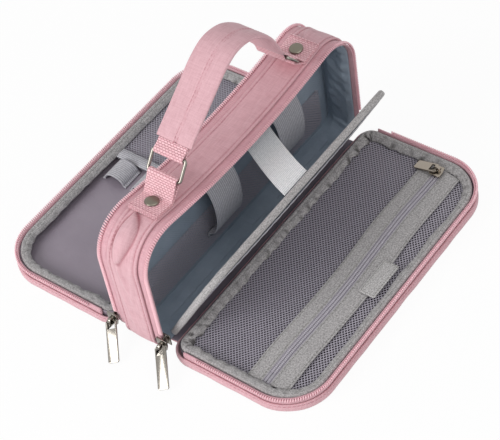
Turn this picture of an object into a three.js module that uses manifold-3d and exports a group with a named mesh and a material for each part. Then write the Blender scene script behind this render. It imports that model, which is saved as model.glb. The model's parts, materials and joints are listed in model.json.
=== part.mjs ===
// An expandable pencil case, standing open on a table. A fabric body holds an upright divider; two shallow
// covers fold down from its lower edges and zip to its front and back; a page leans out over the front cover;
// a strap handle hangs in rings on two riveted tabs.
// Millimetres. X runs along the case, the front cover opens towards -Y and +Z is up. The origin lies on the
// table under the middle of the body.

import * as THREE from "three";
import { mergeVertices } from "three/addons/utils/BufferGeometryUtils.js";
import Module from "manifold-3d";

const wasm = await Module();
wasm.setup();

// The case as a whole
const case_length = 225;
const case_height = 103;
const body_depth = 37;
const cover_depth = 12;
const top_corner_radius = 32;
const hinge_corner_radius = 12;
const least_radius = 0.5;
const top_sag = 12;
const hinge_gap = 3;
const fit_gap = 0.3;
const slope_step = 1;

// Smoothness of round stretches
const corner_steps = 6;
const top_steps = 8;
const round_steps = 12;
const plate_steps = 2;
const bend_steps = 6;
const strap_steps = 22;

// Body fabric, tapes and lining, counted inwards from the outside of the case
const fabric_wall = 1.6;
const edge_fold = 0.5;
const tape_show = 7;
const tape_lap = 4;
const tape_wall = 0.9;
const lining_wall = 0.6;
const lining_margin = 3.5;

// Coil zip: pitch of the teeth, how far they reach past the tape, and how deep the valleys lie
const coil_pitch = 4.5;
const coil_root = 1.3;
const coil_reach = 0.8;
const coil_valley = 0.4;
const coil_start = 22;

// Divider, its pocket and its elastics
const divider_place = 7;
const divider_wall = 2;
const divider_edge = 0.6;
const divider_pocket_height = 34;
const divider_pocket_floor = 8;
const pocket_margin = 12;
const net_wall = 0.6;
const net_corner = 6;
const elastic_width = 27;
const elastic_wall = 1.2;
const elastic_low = 24;
const elastic_drop = 33;
const elastic_bulge = 12;
const elastic_foot = 5;
const near_elastic_place = -18;
const far_elastic_place = 53;

// Patch on the divider and the strap from it to the page
const patch_place = 25;
const patch_width = 26;
const patch_height = 20;
const patch_drop = 39;
const patch_wall = 0.8;
const patch_corner = 1.5;
const page_strap_width = 24;
const page_strap_wall = 1;
const page_strap_shift = -26;
const page_strap_hem = 2;
const page_strap_bend = 12;

// Page: a stiffened panel with a wide binding, hinged inside the body's front lower edge
const page_end_gap = 12.5;
const page_top_gap = 23;
const page_wall = 2;
const page_edge = 0.6;
const page_top_radius = 22;
const page_low_radius = 6;
const page_lean = THREE.MathUtils.degToRad(30);
const page_seat = 4;
const page_rise = 5;
const page_hinge_reach = 9;
const page_hinge_wall = 0.6;
const page_binding_width = 10;
const page_binding_wall = 0.8;
const page_mouth_drop = 18;
const page_elastic_height = 5;
const page_elastic_wall = 1;

// Covers
const cover_tape_show = 5;
const cover_floor = 2.2;
const cover_soft_edge = 3;
const cover_lining_top = 10;
const binding_width = 6.5;
const binding_low = 8.2;
const binding_top = 11.7;
const binding_roll = 1;

// Net pockets: strands, the gaps between them and the level that the net lies at
const net_level = 7;
const net_pitch_u = 16;
const net_pitch_v = 14;
const net_strand = 2.6;
const net_rim = 2.5;
const back_net_near = 2;
const net_trim_width = 9;
const net_trim_wall = 0.8;

// Zip band of the front pocket
const zip_drop = 35.5;
const zip_gap = 5.4;
const inner_strip_width = 11;
const outer_strip_width = 13;
const strip_wall = 0.8;
const pocket_coil_height = 1.4;
const pocket_coil_root = 2.3;
const pocket_coil_half_gap = 0.8;
const pocket_coil_valley = 0.6;
const loop_patch_length = 30;
const loop_patch_width = 12;
const loop_patch_place = 1;

// Pen loops on the back cover
const pen_loop_length = 17;
const pen_loop_span = 15;
const pen_loop_height = 8;
const pen_loop_wall = 1;
const pen_loop_foot = 3;
const pen_loop_gap = 1;
const first_pen_loop_drop = 23;
const second_pen_loop_drop = 47;

// Handle: tabs, rivets, rings, webbing loops and strap
const rivet_end_distance = 36.5;
const webbing_width = 22;
const webbing_wall = 1.2;
const tab_tail = 10;
const tab_base = 6.8;
const near_tab_reach = 12.5;
const far_tab_reach = 13;
const near_tab_lift = 14;
const far_tab_lift = 10.5;
const rivet_head_radius = 4.7;
const rivet_head_height = 1.6;
const rivet_shank_radius = 1.8;
const rivet_tail_radius = 3.6;
const rivet_tail_height = 0.4;
const ring_width = 27;
const ring_height = 14;
const ring_wire = 2.2;
const ring_corner = 1.8;
const wire_sides = 6;
const near_ring_lean = THREE.MathUtils.degToRad(59);
const far_ring_lean = THREE.MathUtils.degToRad(58);
const near_loop_lean = THREE.MathUtils.degToRad(50);
const far_loop_lean = THREE.MathUtils.degToRad(68);
const loop_tongue = 5;
const strap_width = 27;
const strap_wall = 3.2;
const strap_edge = 0.9;
const strap_rise = 36;
const strap_lead = 5;
const strap_seam_share = 0.06;
const strap_seam_depth = 0.5;
const strap_seam_width = 0.9;
const strap_path_shares = [
  [0.27, 0.55],
  [0.43, 0.86],
  [0.57, 1],
  [0.73, 0.92],
  [0.88, 0.62],
];

// Sliders and pulls
const slider_length = 9;
const slider_width = 8;
const slider_waist = 6;
const slider_plate = 1.2;
const slider_back_plate = 0.8;
const slider_web = 0.8;
const slider_seat = 0.4;
const slider_rise = 11;
const bail_inner = 1.5;
const bail_wire = 1.1;
const bail_width = 2.2;
const bail_leg = 1.7;
const pull_length = 27;
const pocket_pull_length = 17;
const pull_width = 7.6;
const pull_wall = 1.2;
const pull_eye_length = 5;
const pull_eye_side = 1.1;
const pull_shoulder = 1.6;
const pull_corner = 0.8;
const pull_turn = THREE.MathUtils.degToRad(32);
const pocket_pull_droop = THREE.MathUtils.degToRad(13.5);

// Worked out from the sizes above
const half_length = case_length / 2;
const half_depth = body_depth / 2;
const half_band = half_depth - tape_show;
const tape_outer = fabric_wall + fit_gap;
const tape_inner = tape_outer + tape_wall;
const lining_outer = tape_inner + fit_gap;
const lining_inner = lining_outer + lining_wall;
const binding_outer = lining_inner + 2 * fit_gap;
const binding_inner = binding_outer + binding_width;
const hinge_line = half_depth + hinge_gap;
const elastic_height = case_height - elastic_drop - elastic_low;
const patch_low = case_height - patch_drop;
const page_length = case_length - 2 * page_end_gap;
const page_height = case_height - page_top_gap;
const page_pocket_height = page_height - page_mouth_drop;
const zip_line = case_height - zip_drop;
const rivet_place = half_length - rivet_end_distance;

const finish = (color, roughness, metalness = 0) =>
  new THREE.MeshStandardMaterial({ color, roughness, metalness });
const pink_fabric = finish("#dcaab2", 0.85);
const pink_webbing = finish("#f0b3bb", 0.8);
const pink_teeth = finish("#e6a9b4", 0.5);
const gray_binding = finish("#a9a8a3", 0.9);
const gray_net = finish("#77707a", 0.9);
const gray_elastic = finish("#9c9aa0", 0.85);
const mauve_lining = finish("#8b828c", 0.6);
const blue_lining = finish("#6e7a87", 0.7);
const pale_webbing = finish("#c8cacb", 0.85);
const nickel = finish("#b5b0a8", 0.25, 1);

// A closed body that faces out, from points and triangles
function bodyOf(points, faces) {
  let volume = 0;
  for (const [a, b, c] of faces)
    volume += points[a].dot(points[b].clone().cross(points[c]));
  const index = faces.flatMap(([a, b, c]) => (volume < 0 ? [a, c, b] : [a, b, c]));
  const geometry = new THREE.BufferGeometry();
  geometry.setAttribute(
    "position",
    new THREE.Float32BufferAttribute(points.flatMap((p) => p.toArray()), 3),
  );
  geometry.setIndex(index);
  return geometry;
}

// Triangles that close a ring of points, wound along the ring or against it
function capFaces(ring, first, along) {
  const normal = new THREE.Vector3();
  ring.forEach((p, i) => normal.add(p.clone().cross(ring[(i + 1) % ring.length])));
  const [i, j] = [
    [1, 2],
    [2, 0],
    [0, 1],
  ][normal.toArray().map(Math.abs).reduce((best, n, k, all) => (n > all[best] ? k : best), 0)];
  const flat = ring.map((p) => new THREE.Vector2(p.getComponent(i), p.getComponent(j)));
  const turn = Math.sign(THREE.ShapeUtils.area(flat));
  return THREE.ShapeUtils.triangulateShape(flat, []).map((face) => {
    const same = Math.sign(THREE.ShapeUtils.area(face.map((k) => flat[k]))) === turn;
    return (same === along ? face : [face[0], face[2], face[1]]).map((k) => first + k);
  });
}

// A skin through rings of equal point counts: the ends are capped, or the last ring meets the first
function loft(rings, round) {
  const size = rings[0].length;
  const faces = [];
  const spans = round ? rings.length : rings.length - 1;
  for (let k = 0; k < spans; k++)
    for (let i = 0; i < size; i++) {
      const next = (i + 1) % size;
      const here = k * size;
      const there = ((k + 1) % rings.length) * size;
      faces.push([here + i, here + next, there + next], [here + i, there + next, there + i]);
    }
  if (!round)
    faces.push(
      ...capFaces(rings[0], 0, false),
      ...capFaces(rings.at(-1), (rings.length - 1) * size, true),
    );
  return bodyOf(rings.flat(), faces);
}

// manifold-3d cuts and joins
function solidOf(geometry) {
  const bare = geometry.clone();
  bare.deleteAttribute("normal");
  bare.deleteAttribute("uv");
  const merged = mergeVertices(bare);
  return new wasm.Manifold(
    new wasm.Mesh({
      numProp: 3,
      vertProperties: merged.attributes.position.array,
      triVerts: new Uint32Array(merged.index.array),
    }),
  );
}

function geometryOf(solid) {
  const mesh = solid.getMesh();
  const geometry = new THREE.BufferGeometry();
  geometry.setAttribute("position", new THREE.BufferAttribute(mesh.vertProperties, mesh.numProp));
  geometry.setIndex(new THREE.BufferAttribute(mesh.triVerts, 1));
  return geometry;
}

const joined = (...geometries) =>
  geometryOf(geometries.map(solidOf).reduce((sum, solid) => sum.add(solid)));
const cut = (geometry, ...tools) =>
  geometryOf(tools.map(solidOf).reduce((rest, tool) => rest.subtract(tool), solidOf(geometry)));

// Side outlines: a rectangle with round corners, half a length to each side and standing on its low edge
const case_form = {
  half: half_length,
  height: case_height,
  top: top_corner_radius,
  low: hinge_corner_radius,
};
const page_form = {
  half: page_length / 2,
  height: page_height,
  top: page_top_radius,
  low: page_low_radius,
};

// Points and outward normals of an outline, inset by a distance, from the near end over the top to the far
// end. Closed, it goes on round the low corners; open, it starts and ends at the top of them.
function outlineOf(form, inset, closed) {
  const stations = [];
  const corner = (side, high, radius, from, to) => {
    const round = Math.max(radius - inset, least_radius);
    const u = side * (form.half - inset - round);
    const v = high ? form.height - inset - round : inset + round;
    for (let i = 0; i <= corner_steps; i++) {
      const turn = from + ((to - from) * i) / corner_steps;
      const [nu, nv] = [Math.cos(turn), Math.sin(turn)];
      stations.push({ u: u + round * nu, v: v + round * nv, nu, nv });
    }
  };
  const flat = form.half - form.top;
  if (closed) corner(-1, false, form.low, 1.5 * Math.PI, Math.PI);
  else stations.push({ u: -form.half + inset, v: form.low, nu: -1, nv: 0 });
  corner(-1, true, form.top, Math.PI, Math.PI / 2);
  for (let i = 1; i < top_steps; i++)
    stations.push({
      u: flat * ((2 * i) / top_steps - 1),
      v: form.height - inset,
      nu: 0,
      nv: 1,
    });
  corner(1, true, form.top, Math.PI / 2, 0);
  if (closed) corner(1, false, form.low, 0, -Math.PI / 2);
  else stations.push({ u: form.half - inset, v: form.low, nu: 1, nv: 0 });
  return stations;
}

// Evenly spaced stations along the zip, one tooth and one valley in turn
function toothTrack() {
  const high = case_height - top_corner_radius;
  const flat = half_length - top_corner_radius;
  const path = new THREE.Path();
  path.moveTo(-half_length, coil_start);
  path.lineTo(-half_length, high);
  path.absarc(-flat, high, top_corner_radius, Math.PI, Math.PI / 2, true);
  path.lineTo(flat, case_height);
  path.absarc(flat, high, top_corner_radius, Math.PI / 2, 0, true);
  path.lineTo(half_length, coil_start);
  const count = 2 * Math.round(path.getLength() / coil_pitch);
  return Array.from({ length: count + 1 }, (_, i) => {
    const point = path.getPointAt(i / count);
    const tangent = path.getTangentAt(i / count);
    return { u: point.x, v: point.y, nu: -tangent.y, nv: tangent.x };
  });
}

const tooth_track = toothTrack();

// The soft top of the body sags between its corners
const sagAt = (x) => top_sag * Math.max(0, 1 - (x / half_length) ** 2);
const sagged = (x, y, z) => new THREE.Vector3(x, y, z - sagAt(x) * (z / case_height) ** 2);
const topOf = (x) => case_height - sagAt(x);

// Places of an outline's station at a level on the body, on a cover lying open and on the page
const onBody = (s, level) => sagged(s.u, level, s.v);
const onCover = (s, level) => new THREE.Vector3(s.u, s.v, level);
const onPage = (s, level) => new THREE.Vector3(s.u, level, s.v);
const moved = (s, inset) => ({ u: s.u - s.nu * inset, v: s.v - s.nv * inset });

// A section of (inset, level) points carried along an outline, its ends capped unless it goes all round
function swept(form, section, place, closed) {
  const tracks = section.map(([inset]) => outlineOf(form, inset, closed));
  const rings = tracks[0].map((_, k) => section.map(([, level], i) => place(tracks[i][k], level)));
  return loft(rings, closed);
}

// Layers of (inset, level, roll) on top of each other. The roll is a further inset on the hinge side only.
function stacked(form, layers, place) {
  const rings = layers.map(([inset, level, roll = 0]) =>
    outlineOf(form, inset, true).map((s) => place(moved(s, roll * Math.max(0, -s.nv)), level)),
  );
  return loft(rings, false);
}

// A flat plate of a shape, lying in XY from level up
function plate(shape, thickness, level = 0, arc_steps = plate_steps) {
  const geometry = new THREE.ExtrudeGeometry(shape, {
    depth: thickness,
    bevelEnabled: false,
    curveSegments: arc_steps,
  });
  return geometry.translate(0, 0, level);
}

function roundedRectangle(left, right, low, high, radius) {
  const shape = new THREE.Shape();
  shape.absarc(right - radius, low + radius, radius, -Math.PI / 2, 0);
  shape.absarc(right - radius, high - radius, radius, 0, Math.PI / 2);
  shape.absarc(left + radius, high - radius, radius, Math.PI / 2, Math.PI);
  shape.absarc(left + radius, low + radius, radius, Math.PI, 1.5 * Math.PI);
  return shape;
}

// Stands a plate drawn in (x, z) upright, its thickness running from place towards -Y
const upright = (geometry, place) =>
  geometry.rotateX(Math.PI / 2).translate(0, place, 0);
// Lays a profile drawn in (x, z) across Y, centred
const across = (shape, width) => upright(plate(shape, width, 0, bend_steps), width / 2);
// Lays a profile drawn in (y, z) along X, centred
const along = (shape, length) => {
  const geometry = plate(shape, length, 0, bend_steps).translate(0, 0, -length / 2);
  return geometry.applyMatrix4(
    new THREE.Matrix4().makeBasis(
      new THREE.Vector3(0, 1, 0),
      new THREE.Vector3(0, 0, 1),
      new THREE.Vector3(1, 0, 0),
    ),
  );
};

const object = new THREE.Group();
function piece(name, geometry, material, parent = object) {
  const mesh = new THREE.Mesh(geometry, material);
  mesh.name = name;
  parent.add(mesh);
  return mesh;
}
function group(parent, x, y, z) {
  const made = new THREE.Group();
  made.position.set(x, y, z);
  parent.add(made);
  return made;
}

// Frame on the body's top, square to the sagging fabric at x
function topFrame(x) {
  const slope = (topOf(x + slope_step) - topOf(x - slope_step)) / (2 * slope_step);
  const made = group(object, x, 0, topOf(x));
  made.rotation.y = -Math.atan(slope);
  made.updateMatrixWorld(true);
  return made;
}

// Body: one fabric band all round, cut for the rivets
const band_section = [
  [0, -half_band + edge_fold],
  [0, half_band - edge_fold],
  [edge_fold, half_band],
  [fabric_wall, half_band],
  [fabric_wall, -half_band],
  [edge_fold, -half_band],
];
function rivetHole(side) {
  const frame = topFrame(side * rivet_place);
  const radius = rivet_shank_radius + fit_gap;
  const hole = new THREE.CylinderGeometry(radius, radius, 2 * tape_inner, round_steps);
  hole.rotateX(Math.PI / 2);
  return hole.applyMatrix4(frame.matrixWorld);
}
piece(
  "gusset_band",
  cut(
    swept(case_form, band_section, onBody, true),
    rivetHole(-1),
    rivetHole(1),
  ),
  pink_fabric,
);
const lining_half = half_depth - lining_margin;
piece(
  "body_lining",
  swept(
    case_form,
    [
      [lining_outer, -lining_half],
      [lining_outer, lining_half],
      [lining_inner, lining_half],
      [lining_inner, -lining_half],
    ],
    onBody,
    true,
  ),
  blue_lining,
);

// A zip half: the tape, and the row of coil teeth on its outer face. tip is the level of the tape's edge.
const tapeSection = (tip, back) => [
  [tape_outer, tip],
  [tape_inner, tip],
  [tape_inner, back],
  [tape_outer, back],
];
function teethOn(place, tip, outward) {
  const root = tip - outward * coil_root;
  const rings = tooth_track.map((s, i) => [
    place(s, root),
    place(moved(s, fabric_wall), root),
    place(moved(s, fabric_wall / 2), tip + outward * (i % 2 ? coil_reach : -coil_valley)),
  ]);
  return loft(rings, false);
}
for (const [name, side] of [
  ["front", -1],
  ["back", 1],
]) {
  const tip = side * half_depth;
  piece(
    `${name}_body_zip_tape`,
    swept(case_form, tapeSection(tip, side * (half_band - tape_lap)), onBody, false),
    pink_fabric,
  );
  piece(
    `${name}_body_zip_teeth`,
    teethOn(onBody, tip, side),
    pink_teeth,
  );
  // Hinge tape: a fabric strip under the lower edge, from the band to the round hinge side of the cover
  const hinge_length = case_length - 2 * hinge_corner_radius;
  const roll = cover_depth / 2;
  const low = fit_gap;
  const high = fit_gap + tape_wall;
  const bite = roll - Math.sqrt(roll ** 2 - (roll - high) ** 2);
  const strip = new THREE.Shape();
  strip.moveTo(half_band + fit_gap, low);
  strip.lineTo(hinge_line + bite - fit_gap, low);
  strip.lineTo(hinge_line + bite - fit_gap, high);
  strip.lineTo(half_band + fit_gap, high);
  const tape = piece(`${name}_hinge_tape`, along(strip, hinge_length), pink_fabric);
  if (side < 0) tape.rotation.z = Math.PI;
}

// Divider: a padded panel across the whole body, with a flat net pocket and two standing elastics
const divider_inset = lining_inner + fit_gap;
piece(
  "centre_divider",
  stacked(
    case_form,
    [
      [divider_inset + divider_edge, divider_place],
      [divider_inset, divider_place + divider_edge],
      [divider_inset, divider_place + divider_wall - divider_edge],
      [divider_inset + divider_edge, divider_place + divider_wall],
    ],
    onBody,
  ),
  blue_lining,
);
const pocket_face = divider_place - fit_gap;
piece(
  "divider_pocket",
  upright(
    plate(
      roundedRectangle(
        -half_length + pocket_margin,
        half_length - pocket_margin,
        divider_pocket_floor,
        divider_pocket_floor + divider_pocket_height,
        net_corner,
      ),
      net_wall,
    ),
    pocket_face,
  ),
  gray_net,
);

// A band that stands off its panel in a half ellipse, with a sewn foot at each end. Drawn in (out, along).
function standingBand(low, span, bulge, wall, foot) {
  const shape = new THREE.Shape();
  const middle = low + span / 2;
  shape.moveTo(0, low - foot);
  shape.lineTo(0, low);
  shape.absellipse(0, middle, bulge - wall, span / 2, -Math.PI / 2, Math.PI / 2, false);
  shape.lineTo(0, low + span + foot);
  shape.lineTo(wall, low + span + foot);
  shape.lineTo(wall, low + span + wall);
  // The turn past which the outer ellipse has come out by the wall
  const turn = Math.PI / 2 - Math.asin(wall / bulge);
  shape.absellipse(0, middle, bulge, span / 2 + wall, turn, -turn, true);
  shape.lineTo(wall, low - foot);
  return shape;
}
for (const [name, place] of [
  ["near_divider_elastic", near_elastic_place],
  ["far_divider_elastic", far_elastic_place],
]) {
  const face = pocket_face - net_wall - fit_gap;
  const band = along(
    standingBand(elastic_low, elastic_height, elastic_bulge, elastic_wall, elastic_foot),
    elastic_width,
  );
  band.rotateZ(Math.PI).translate(place, face, 0);
  piece(name, band, gray_elastic);
}

// Patch on the divider, and the strap that runs from it to the page's top edge
piece(
  "strap_patch",
  upright(
    plate(
      roundedRectangle(
        patch_place - patch_width / 2,
        patch_place + patch_width / 2,
        patch_low,
        patch_low + patch_height,
        patch_corner,
      ),
      patch_wall,
    ),
    pocket_face,
  ),
  gray_elastic,
);

// Page: leans out from a pivot inside the body's front lower edge
const page_pivot_y = -half_depth + page_seat;
const page_face = page_wall / 2 + fit_gap + page_binding_wall;
function pagePoint(height, out) {
  return new THREE.Vector2(
    page_pivot_y - height * Math.sin(page_lean) + out * Math.cos(page_lean),
    page_rise + height * Math.cos(page_lean) + out * Math.sin(page_lean),
  );
}

// The strap lies on the patch, bends away from it and meets the page's binding square to the page
const patch_face = pocket_face - patch_wall - fit_gap - page_strap_wall / 2;
const strap_seat = page_height - page_binding_width / 2;
const strap_end = pagePoint(strap_seat, page_face + fit_gap);
const strap_lead_in = pagePoint(strap_seat, page_face + page_strap_bend);
const page_strap_end = patch_place + page_strap_shift;
const page_strap_curve = new THREE.CubicBezierCurve3(
  new THREE.Vector3(patch_place, patch_face, patch_low + patch_height - page_strap_hem),
  new THREE.Vector3(patch_place, patch_face, patch_low + page_strap_hem),
  new THREE.Vector3(page_strap_end, strap_lead_in.x, strap_lead_in.y),
  new THREE.Vector3(page_strap_end, strap_end.x, strap_end.y),
);

// A flat strap along a curve: across is its width direction, and its wall is square to both
function strapRings(curve, steps, section, across_way) {
  return Array.from({ length: steps + 1 }, (_, i) => {
    const origin = curve.getPointAt(i / steps);
    const tangent = curve.getTangentAt(i / steps);
    const thick = new THREE.Vector3().crossVectors(tangent, across_way).normalize();
    return section.map(([a, b]) =>
      origin.clone().addScaledVector(across_way, a).addScaledVector(thick, b),
    );
  });
}
function flatSection(width, wall) {
  return [
    [-width / 2, -wall / 2],
    [width / 2, -wall / 2],
    [width / 2, wall / 2],
    [-width / 2, wall / 2],
  ];
}
piece(
  "page_strap",
  loft(
    strapRings(
      page_strap_curve,
      strap_steps,
      flatSection(page_strap_width, page_strap_wall),
      new THREE.Vector3(1, 0, 0),
    ),
    false,
  ),
  pale_webbing,
);

// The page's pieces are drawn upright in (x, z) about its pivot and leaned out
const page = group(object, 0, page_pivot_y, page_rise);
page.rotation.x = page_lean;
piece(
  "page_panel",
  stacked(
    page_form,
    [
      [page_edge, -page_wall / 2],
      [0, -page_wall / 2 + page_edge],
      [0, page_wall / 2 - page_edge],
      [page_edge, page_wall / 2],
    ],
    onPage,
  ),
  blue_lining,
  page,
);

// Binding: a folded strip that straddles the page's edge on three sides
const binding_fold = fit_gap + page_binding_wall;
piece(
  "page_binding",
  swept(
    page_form,
    [
      [-binding_fold, -page_face + page_edge],
      [-binding_fold, page_face - page_edge],
      [-binding_fold + page_edge, page_face],
      [page_binding_width, page_face],
      [page_binding_width, page_wall / 2 + fit_gap],
      [-fit_gap, page_wall / 2 + fit_gap],
      [-fit_gap, -page_wall / 2 - fit_gap],
      [page_binding_width, -page_wall / 2 - fit_gap],
      [page_binding_width, -page_face],
      [-binding_fold + page_edge, -page_face],
    ],
    onPage,
    false,
  ),
  gray_binding,
  page,
);

// Hinge tape of the page: sewn flat to the body's floor and to the page's inner face
const tape_on_page = page_wall / 2 + fit_gap;
const floor_level = lining_inner + fit_gap;

// Where a line along the page, some way out from its middle, comes down to a level
function pageLineAt(out, level) {
  const height = (level - page_rise - out * Math.sin(page_lean)) / Math.cos(page_lean);
  return pagePoint(height, out);
}
const tape_heel = pageLineAt(tape_on_page, floor_level);
const tape_bend = pageLineAt(tape_on_page + page_hinge_wall, floor_level + page_hinge_wall);
piece(
  "page_hinge_tape",
  along(
    new THREE.Shape([
      pagePoint(page_hinge_reach, tape_on_page),
      tape_heel,
      new THREE.Vector2(tape_heel.x + page_hinge_reach, floor_level),
      new THREE.Vector2(tape_heel.x + page_hinge_reach, floor_level + page_hinge_wall),
      tape_bend,
      pagePoint(page_hinge_reach, tape_on_page + page_hinge_wall),
    ]),
    page_length - 2 * page_binding_width - 2 * fit_gap,
  ),
  blue_lining,
);

// A net: a plate with rows of diamond gaps, every other row shifted by half a pitch
function netShape(contour, holds) {
  const shape = new THREE.Shape(contour);
  const us = contour.map((p) => p.x);
  const vs = contour.map((p) => p.y);
  const [left, right] = [Math.min(...us), Math.max(...us)];
  const [low, high] = [Math.min(...vs), Math.max(...vs)];
  const columns = Math.floor((right - left) / net_pitch_u);
  const rows = Math.floor((high - low) / (net_pitch_v / 2));
  const reach_u = (net_pitch_u - net_strand) / 2;
  const reach_v = (net_pitch_v - net_strand) / 2;
  for (let row = 1; row < rows; row++)
    for (let column = 0; column <= columns; column++) {
      const u = (left + right) / 2 + (column - columns / 2 + (row % 2) / 2) * net_pitch_u;
      const v = (low + high) / 2 + ((row - rows / 2) * net_pitch_v) / 2;
      const corners = [
        new THREE.Vector2(u - reach_u, v),
        new THREE.Vector2(u, v + reach_v),
        new THREE.Vector2(u + reach_u, v),
        new THREE.Vector2(u, v - reach_v),
      ];
      if (corners.every(holds)) shape.holes.push(new THREE.Path(corners));
    }
  return shape;
}

// Whether a point lies inside a convex contour that goes anticlockwise, by at least margin
const insideBy = (contour, margin) => (point) =>
  contour.every((from, i) => {
    const to = contour[(i + 1) % contour.length];
    const edge = to.clone().sub(from);
    return edge.cross(point.clone().sub(from)) >= margin * edge.length();
  });

// The part of a contour between two levels of v
function between(contour, low, high) {
  const keep = (points, level, sign) =>
    points.flatMap((here, i) => {
      const next = points[(i + 1) % points.length];
      const [a, b] = [sign * (here.y - level), sign * (next.y - level)];
      const kept = a >= 0 ? [here] : [];
      if (a * b < 0) kept.push(here.clone().lerp(next, a / (a - b)));
      return kept;
    });
  return keep(keep(contour, low, 1), high, -1);
}

// An outline as an anticlockwise contour
const contourOf = (form, inset, closed) =>
  outlineOf(form, inset, closed)
    .map((s) => new THREE.Vector2(s.u, s.v))
    .reverse();

// Pocket on the page's outer face: a flat net with a gathered elastic hem along its mouth
const page_net_inset = page_binding_width + fit_gap;
const page_net_contour = contourOf(page_form, page_net_inset, false);
const page_net_face = -page_wall / 2 - fit_gap;
const page_mesh_contour = between(page_net_contour, 0, page_pocket_height);
piece(
  "page_pocket_net",
  upright(
    plate(netShape(page_mesh_contour, insideBy(page_mesh_contour, net_rim)), net_wall),
    page_net_face,
  ),
  gray_net,
  page,
);
piece(
  "page_pocket_elastic",
  upright(
    plate(
      new THREE.Shape(
        between(
          page_net_contour,
          page_pocket_height + fit_gap,
          page_pocket_height + fit_gap + page_elastic_height,
        ),
      ),
      page_elastic_wall,
    ),
    page_net_face,
  ),
  gray_elastic,
  page,
);

// Covers: trays that lie on the table, drawn with v running away from the hinge
function cover(name, side) {
  const made = group(object, 0, side * hinge_line, 0);
  if (side < 0) made.rotation.z = Math.PI;
  const rim = cover_depth - cover_tape_show;
  const roll = cover_depth / 2;
  // How far the round hinge side lies in at a level, beyond an inset
  const hinge_roll = (level, inset) =>
    Math.max(0, roll - Math.sqrt(Math.max(0, roll ** 2 - (roll - level) ** 2)) - inset);
  const layer = (inset, level) => [inset, level, hinge_roll(level, inset)];
  piece(
    `${name}_cover_shell`,
    stacked(
      case_form,
      [
        layer(cover_soft_edge, 0),
        layer(edge_fold, fabric_wall / 2),
        layer(0, cover_floor),
        layer(0, rim),
        [fabric_wall, rim],
        [fabric_wall, cover_floor + fabric_wall],
        [cover_soft_edge, cover_floor],
      ],
      onCover,
    ),
    pink_fabric,
    made,
  );
  const lining_low = cover_floor + fit_gap;
  piece(
    `${name}_cover_lining`,
    stacked(
      case_form,
      [
        [lining_outer + lining_wall, lining_low],
        [lining_outer, lining_low + lining_wall],
        [lining_outer, cover_lining_top],
        [lining_inner, cover_lining_top],
        [lining_inner, lining_low + 2 * lining_wall],
        [lining_inner + lining_wall, lining_low + lining_wall],
      ],
      onCover,
    ),
    mauve_lining,
    made,
  );
  piece(
    `${name}_cover_binding`,
    swept(
      case_form,
      [
        [binding_outer, binding_low],
        [binding_outer, binding_top - binding_roll],
        [binding_outer + binding_roll, binding_top],
        [binding_outer + binding_width / 2, binding_top - binding_roll / 2],
        [binding_inner, binding_low + binding_roll],
        [binding_inner - binding_roll, binding_low],
      ],
      onCover,
      true,
    ),
    gray_binding,
    made,
  );
  piece(
    `${name}_cover_zip_tape`,
    swept(
      case_form,
      tapeSection(cover_depth, cover_floor + fabric_wall + fit_gap),
      onCover,
      false,
    ),
    pink_fabric,
    made,
  );
  piece(
    `${name}_cover_zip_teeth`,
    teethOn(onCover, cover_depth, 1),
    pink_teeth,
    made,
  );
  return made;
}
const front_cover = cover("front", -1);
const back_cover = cover("back", 1);

// Front pocket: two nets that meet a zip band sewn on top of them
const net_inset = lining_inner + fit_gap;
const net_contour = contourOf(case_form, net_inset, true);
const seen_contour = contourOf(case_form, binding_inner, true);
const band_level = net_level + net_wall + fit_gap;
const strip_inner_low = zip_line - zip_gap / 2 - inner_strip_width;
const strip_outer_high = zip_line + zip_gap / 2 + outer_strip_width;
for (const [name, low, high] of [
  ["front_pocket_inner_net", 0, zip_line - zip_gap / 2 - edge_fold],
  ["front_pocket_outer_net", zip_line + zip_gap / 2 + edge_fold, case_height],
]) {
  const contour = between(net_contour, low, high);
  const inside = insideBy(contour, net_rim);
  const clear = (p) =>
    inside(p) &&
    insideBy(seen_contour, 0)(p) &&
    (p.y < strip_inner_low - fit_gap || p.y > strip_outer_high + fit_gap);
  piece(name, plate(netShape(contour, clear), net_wall, net_level), gray_net, front_cover);
}
const band_contour = contourOf(case_form, binding_inner + fit_gap, true);
for (const [name, low, high] of [
  ["pocket_inner_strip", strip_inner_low, zip_line - zip_gap / 2],
  ["pocket_outer_strip", zip_line + zip_gap / 2, strip_outer_high],
])
  piece(
    name,
    plate(new THREE.Shape(between(band_contour, low, high)), strip_wall, band_level),
    gray_binding,
    front_cover,
  );

// Coil halves of the pocket zip, set over the gap between the strips with room for the slider's web
const coil_half = half_length - binding_inner - slider_length - 3 * fit_gap;
const coil_level = band_level + strip_wall + fit_gap;
for (const [name, side] of [
  ["pocket_inner_teeth", -1],
  ["pocket_outer_teeth", 1],
]) {
  const count = 2 * Math.round((2 * coil_half) / coil_pitch);
  const rings = Array.from({ length: count + 1 }, (_, i) => {
    const u = coil_half * ((2 * i) / count - 1);
    const near = pocket_coil_half_gap + (i % 2 ? 0 : pocket_coil_valley);
    const far = zip_gap / 2 + pocket_coil_root;
    return [
      [near, coil_level],
      [far, coil_level],
      [(near + far) / 2, coil_level + pocket_coil_height],
    ].map(([v, w]) => new THREE.Vector3(u, zip_line + side * v, w));
  });
  piece(name, loft(rings, false), mauve_lining, front_cover);
}
piece(
  "loop_patch",
  plate(
    roundedRectangle(
      -loop_patch_place - loop_patch_length / 2,
      -loop_patch_place + loop_patch_length / 2,
      strip_outer_high - loop_patch_width / 2,
      strip_outer_high + loop_patch_width / 2,
      patch_corner,
    ),
    patch_wall,
    band_level + strip_wall + fit_gap,
  ),
  pale_webbing,
  front_cover,
);

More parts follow.
